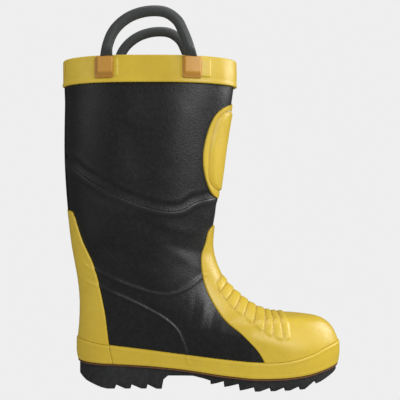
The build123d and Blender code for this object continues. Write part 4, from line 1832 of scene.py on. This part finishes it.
@dataclass(frozen=True)
class Inside:
    """What shows down the shaft: the textile sock and the loose footbed."""

    depth: float = 7.8
    thick: float = 1.8
    top: float = 369.6
    floor: float = 10.4
    spine_end: float = 22.0
    bed_margin: float = 2.8
    bed_middle: float = 7.6
    bed_half: float = 139.0
    bed_low: float = 10.8
    bed_thick: float = 4.1

    def sock(self) -> bpy.types.Object:
        """The lining: slightly slack walls from the collar down, and a floor that closes onto a middle line.

        Returns:
            The new object.
        """
        theta = np.linspace(0.0, TURN, 240, endpoint=False)
        faces = []
        for depth, floor in ((self.depth, self.floor), (self.depth - self.thick, self.floor - self.thick)):
            high, low = FORM.place_of(FLOOR_LEVEL, theta, self.top), FORM.place_of(FEATHER, theta, floor)
            rows = np.linspace(0.0, 1.0, 130)[:, None]
            place = high + rows * (low - high)
            angle = np.broadcast_to(theta, place.shape)
            quiet = eased(rows / 0.05) * eased((1.0 - rows) / 0.1)
            slack = 0.25 * np.sin(place * 5.0 + 3.0 * np.sin(angle)) * quiet
            wall = FORM.skin(angle, place, -depth + np.minimum(slack, 0.2))
            last = wall[-1]
            first_x, last_x = last[:, 0].min() + self.spine_end, last[:, 0].max() - self.spine_end
            spine_x = np.clip(last[:, 0], first_x, last_x)
            middle = np.full(len(theta), last[:, 1].mean())
            spine = np.stack([spine_x, middle, FEATHER.z_at(spine_x) + floor], -1)
            shares = np.linspace(0.0, 1.0, 16)[1:, None, None]
            bed = last[None] + shares * (spine - last)[None]
            bed[..., 2] = FEATHER.z_at(bed[..., 0]) + floor
            faces.append(np.concatenate([wall, bed]))
        grid = np.concatenate([faces[0][::-1], faces[1]])
        rows, columns = grid.shape[:2]
        quads = grid_faces(rows, columns, 0, False, True)
        return make_piece("lining_sock", grid.reshape(-1, 3), quads.tolist(), np.zeros(rows * columns))

    def footbed(self) -> bpy.types.Object:
        """The loose footbed: cross-sections along the foot, thicker at the rim of the heel cup.

        Returns:
            The new object.
        """
        margin = self.depth + self.bed_margin
        turn = np.linspace(0.0, math.pi, 900)
        x = self.bed_middle - self.bed_half * np.cos(np.linspace(0.0, math.pi, 130))
        reaches = []
        for sign in (1.0, -1.0):
            edge = FORM.skin(sign * turn, FORM.place_of(FEATHER, sign * turn, 11.0), -margin)
            order = np.argsort(edge[:, 0])
            reaches.append(np.interp(x, edge[order, 0], edge[order, 1]))
        swing, half = (reaches[0] + reaches[1]) / 2.0, (reaches[1] - reaches[0]) / 2.0
        section = np.array(
            [
                (-0.97, 0.0), (-1.0, 0.3), (-1.0, 0.75), (-0.97, 1.0), (-0.88, 0.96), (-0.6, 0.78),
                (-0.3, 0.7), (0.0, 0.68), (0.3, 0.7), (0.6, 0.78), (0.88, 0.96), (0.97, 1.0),
                (1.0, 0.75), (1.0, 0.3), (0.97, 0.0), (0.0, 0.0),
            ]
        )
        y = swing[:, None] + half[:, None] * section[None, :, 0]
        z = FEATHER.z_at(x)[:, None] + self.bed_low + self.bed_thick * section[None, :, 1]
        rings = np.stack([np.broadcast_to(x[:, None], y.shape), y, z], -1)
        return tube_piece("footbed", rings, np.zeros(y.shape))

    def build(self) -> None:
        """Makes and dresses both."""
        DRESSER.dress(self.sock(), "lining_textile", ["lining"])
        DRESSER.dress(self.footbed(), "footbed", ["insole"], "insole")


@dataclass(frozen=True)
class Studio:
    """The camera, the lights and the floor."""

    eye: tuple[float, float, float] = (-0.0024, -0.905, 0.2216)
    lens: float = 70.2
    shift: float = -0.025
    ambient: float = 0.86
    mirrored: float = 0.1

    def camera(self) -> None:
        """A level camera that looks along +Y at the boot's outer side."""
        data = bpy.data.cameras.new("camera")
        data.lens, data.sensor_width, data.shift_y = self.lens, 36.0, self.shift
        data.clip_start = 0.01
        camera = bpy.data.objects.new("camera", data)
        camera.location = self.eye
        camera.rotation_euler = (math.pi / 2.0, 0.0, 0.0)
        bpy.context.scene.collection.objects.link(camera)
        bpy.context.scene.camera = camera

    def light(self, name: str, place: tuple[float, float, float], size: float, power: float) -> None:
        """A soft square light that faces the boot's middle.

        Args:
            name: The light's name.
            place: Where it stands, in metres.
            size: The length of its side, in metres.
            power: Its power in watts.
        """
        data = bpy.data.lights.new(name, "AREA")
        data.size, data.energy = size, power
        light = bpy.data.objects.new(name, data)
        light.location = place
        light.rotation_euler = (Vector((0.0, 0.0, 0.2)) - Vector(place)).to_track_quat("-Z", "Y").to_euler()
        bpy.context.scene.collection.objects.link(light)

    def floor(self) -> None:
        """A plain pale floor."""
        mesh = bpy.data.meshes.new("floor")
        reach = 12.0
        corners = [(-reach, -reach, 0), (reach, -reach, 0), (reach, reach, 0), (-reach, reach, 0)]
        mesh.from_pydata(corners, [], [(0, 1, 2, 3)])
        floor = bpy.data.objects.new("floor", mesh)
        material = bpy.data.materials.new("floor_paint")
        material.use_nodes = True
        shader = material.node_tree.nodes["Principled BSDF"]
        shader.inputs["Base Color"].default_value = (0.93, 0.93, 0.93, 1.0)
        shader.inputs["Roughness"].default_value = 1.0
        shader.inputs["Specular IOR Level"].default_value = 0.0
        mesh.materials.append(material)
        bpy.context.scene.collection.objects.link(floor)

    def build(self) -> None:
        """Sets everything up."""
        self.camera()
        self.light("key", (0.95, -1.15, 0.85), 0.8, 13.5)
        self.light("edge", (1.4, 0.3, 0.75), 0.7, 13.0)
        self.light("fill", (-1.4, -0.9, 0.7), 0.8, 2.0)
        self.light("top", (0.1, 0.1, 1.7), 1.0, 9.0)
        world = bpy.data.worlds.new("studio")
        world.use_nodes = True
        wiring = Wiring(world.node_tree)
        background = world.node_tree.nodes["Background"]
        background.inputs["Color"].default_value = (1.0, 1.0, 1.0, 1.0)
        glossy = wiring.add("LightPath").outputs["Is Glossy Ray"]
        dimming = wiring.sum("MULTIPLY", glossy, self.ambient - self.mirrored)
        strength = wiring.sum("SUBTRACT", self.ambient, dimming)
        world.node_tree.links.new(strength, background.inputs["Strength"])
        bpy.context.scene.world = world
        bpy.context.scene.view_settings.view_transform = "Standard"


def main() -> None:
    """Builds the boot in order and reports each piece."""
    logging.basicConfig(level=logging.INFO, format="%(name)s %(message)s")
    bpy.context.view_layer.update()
    DRESSER.finish_solids()
    loops = (PullLoop(Side.LATERAL), PullLoop(Side.MEDIAL))
    for assembly in (Upper(), Covers(), Foxing(), COLLAR, *loops, Outsole(), Inside(), Studio()):
        assembly.build()
        log.info("built %s", type(assembly).__name__)


if __name__ == "__main__":
    main()
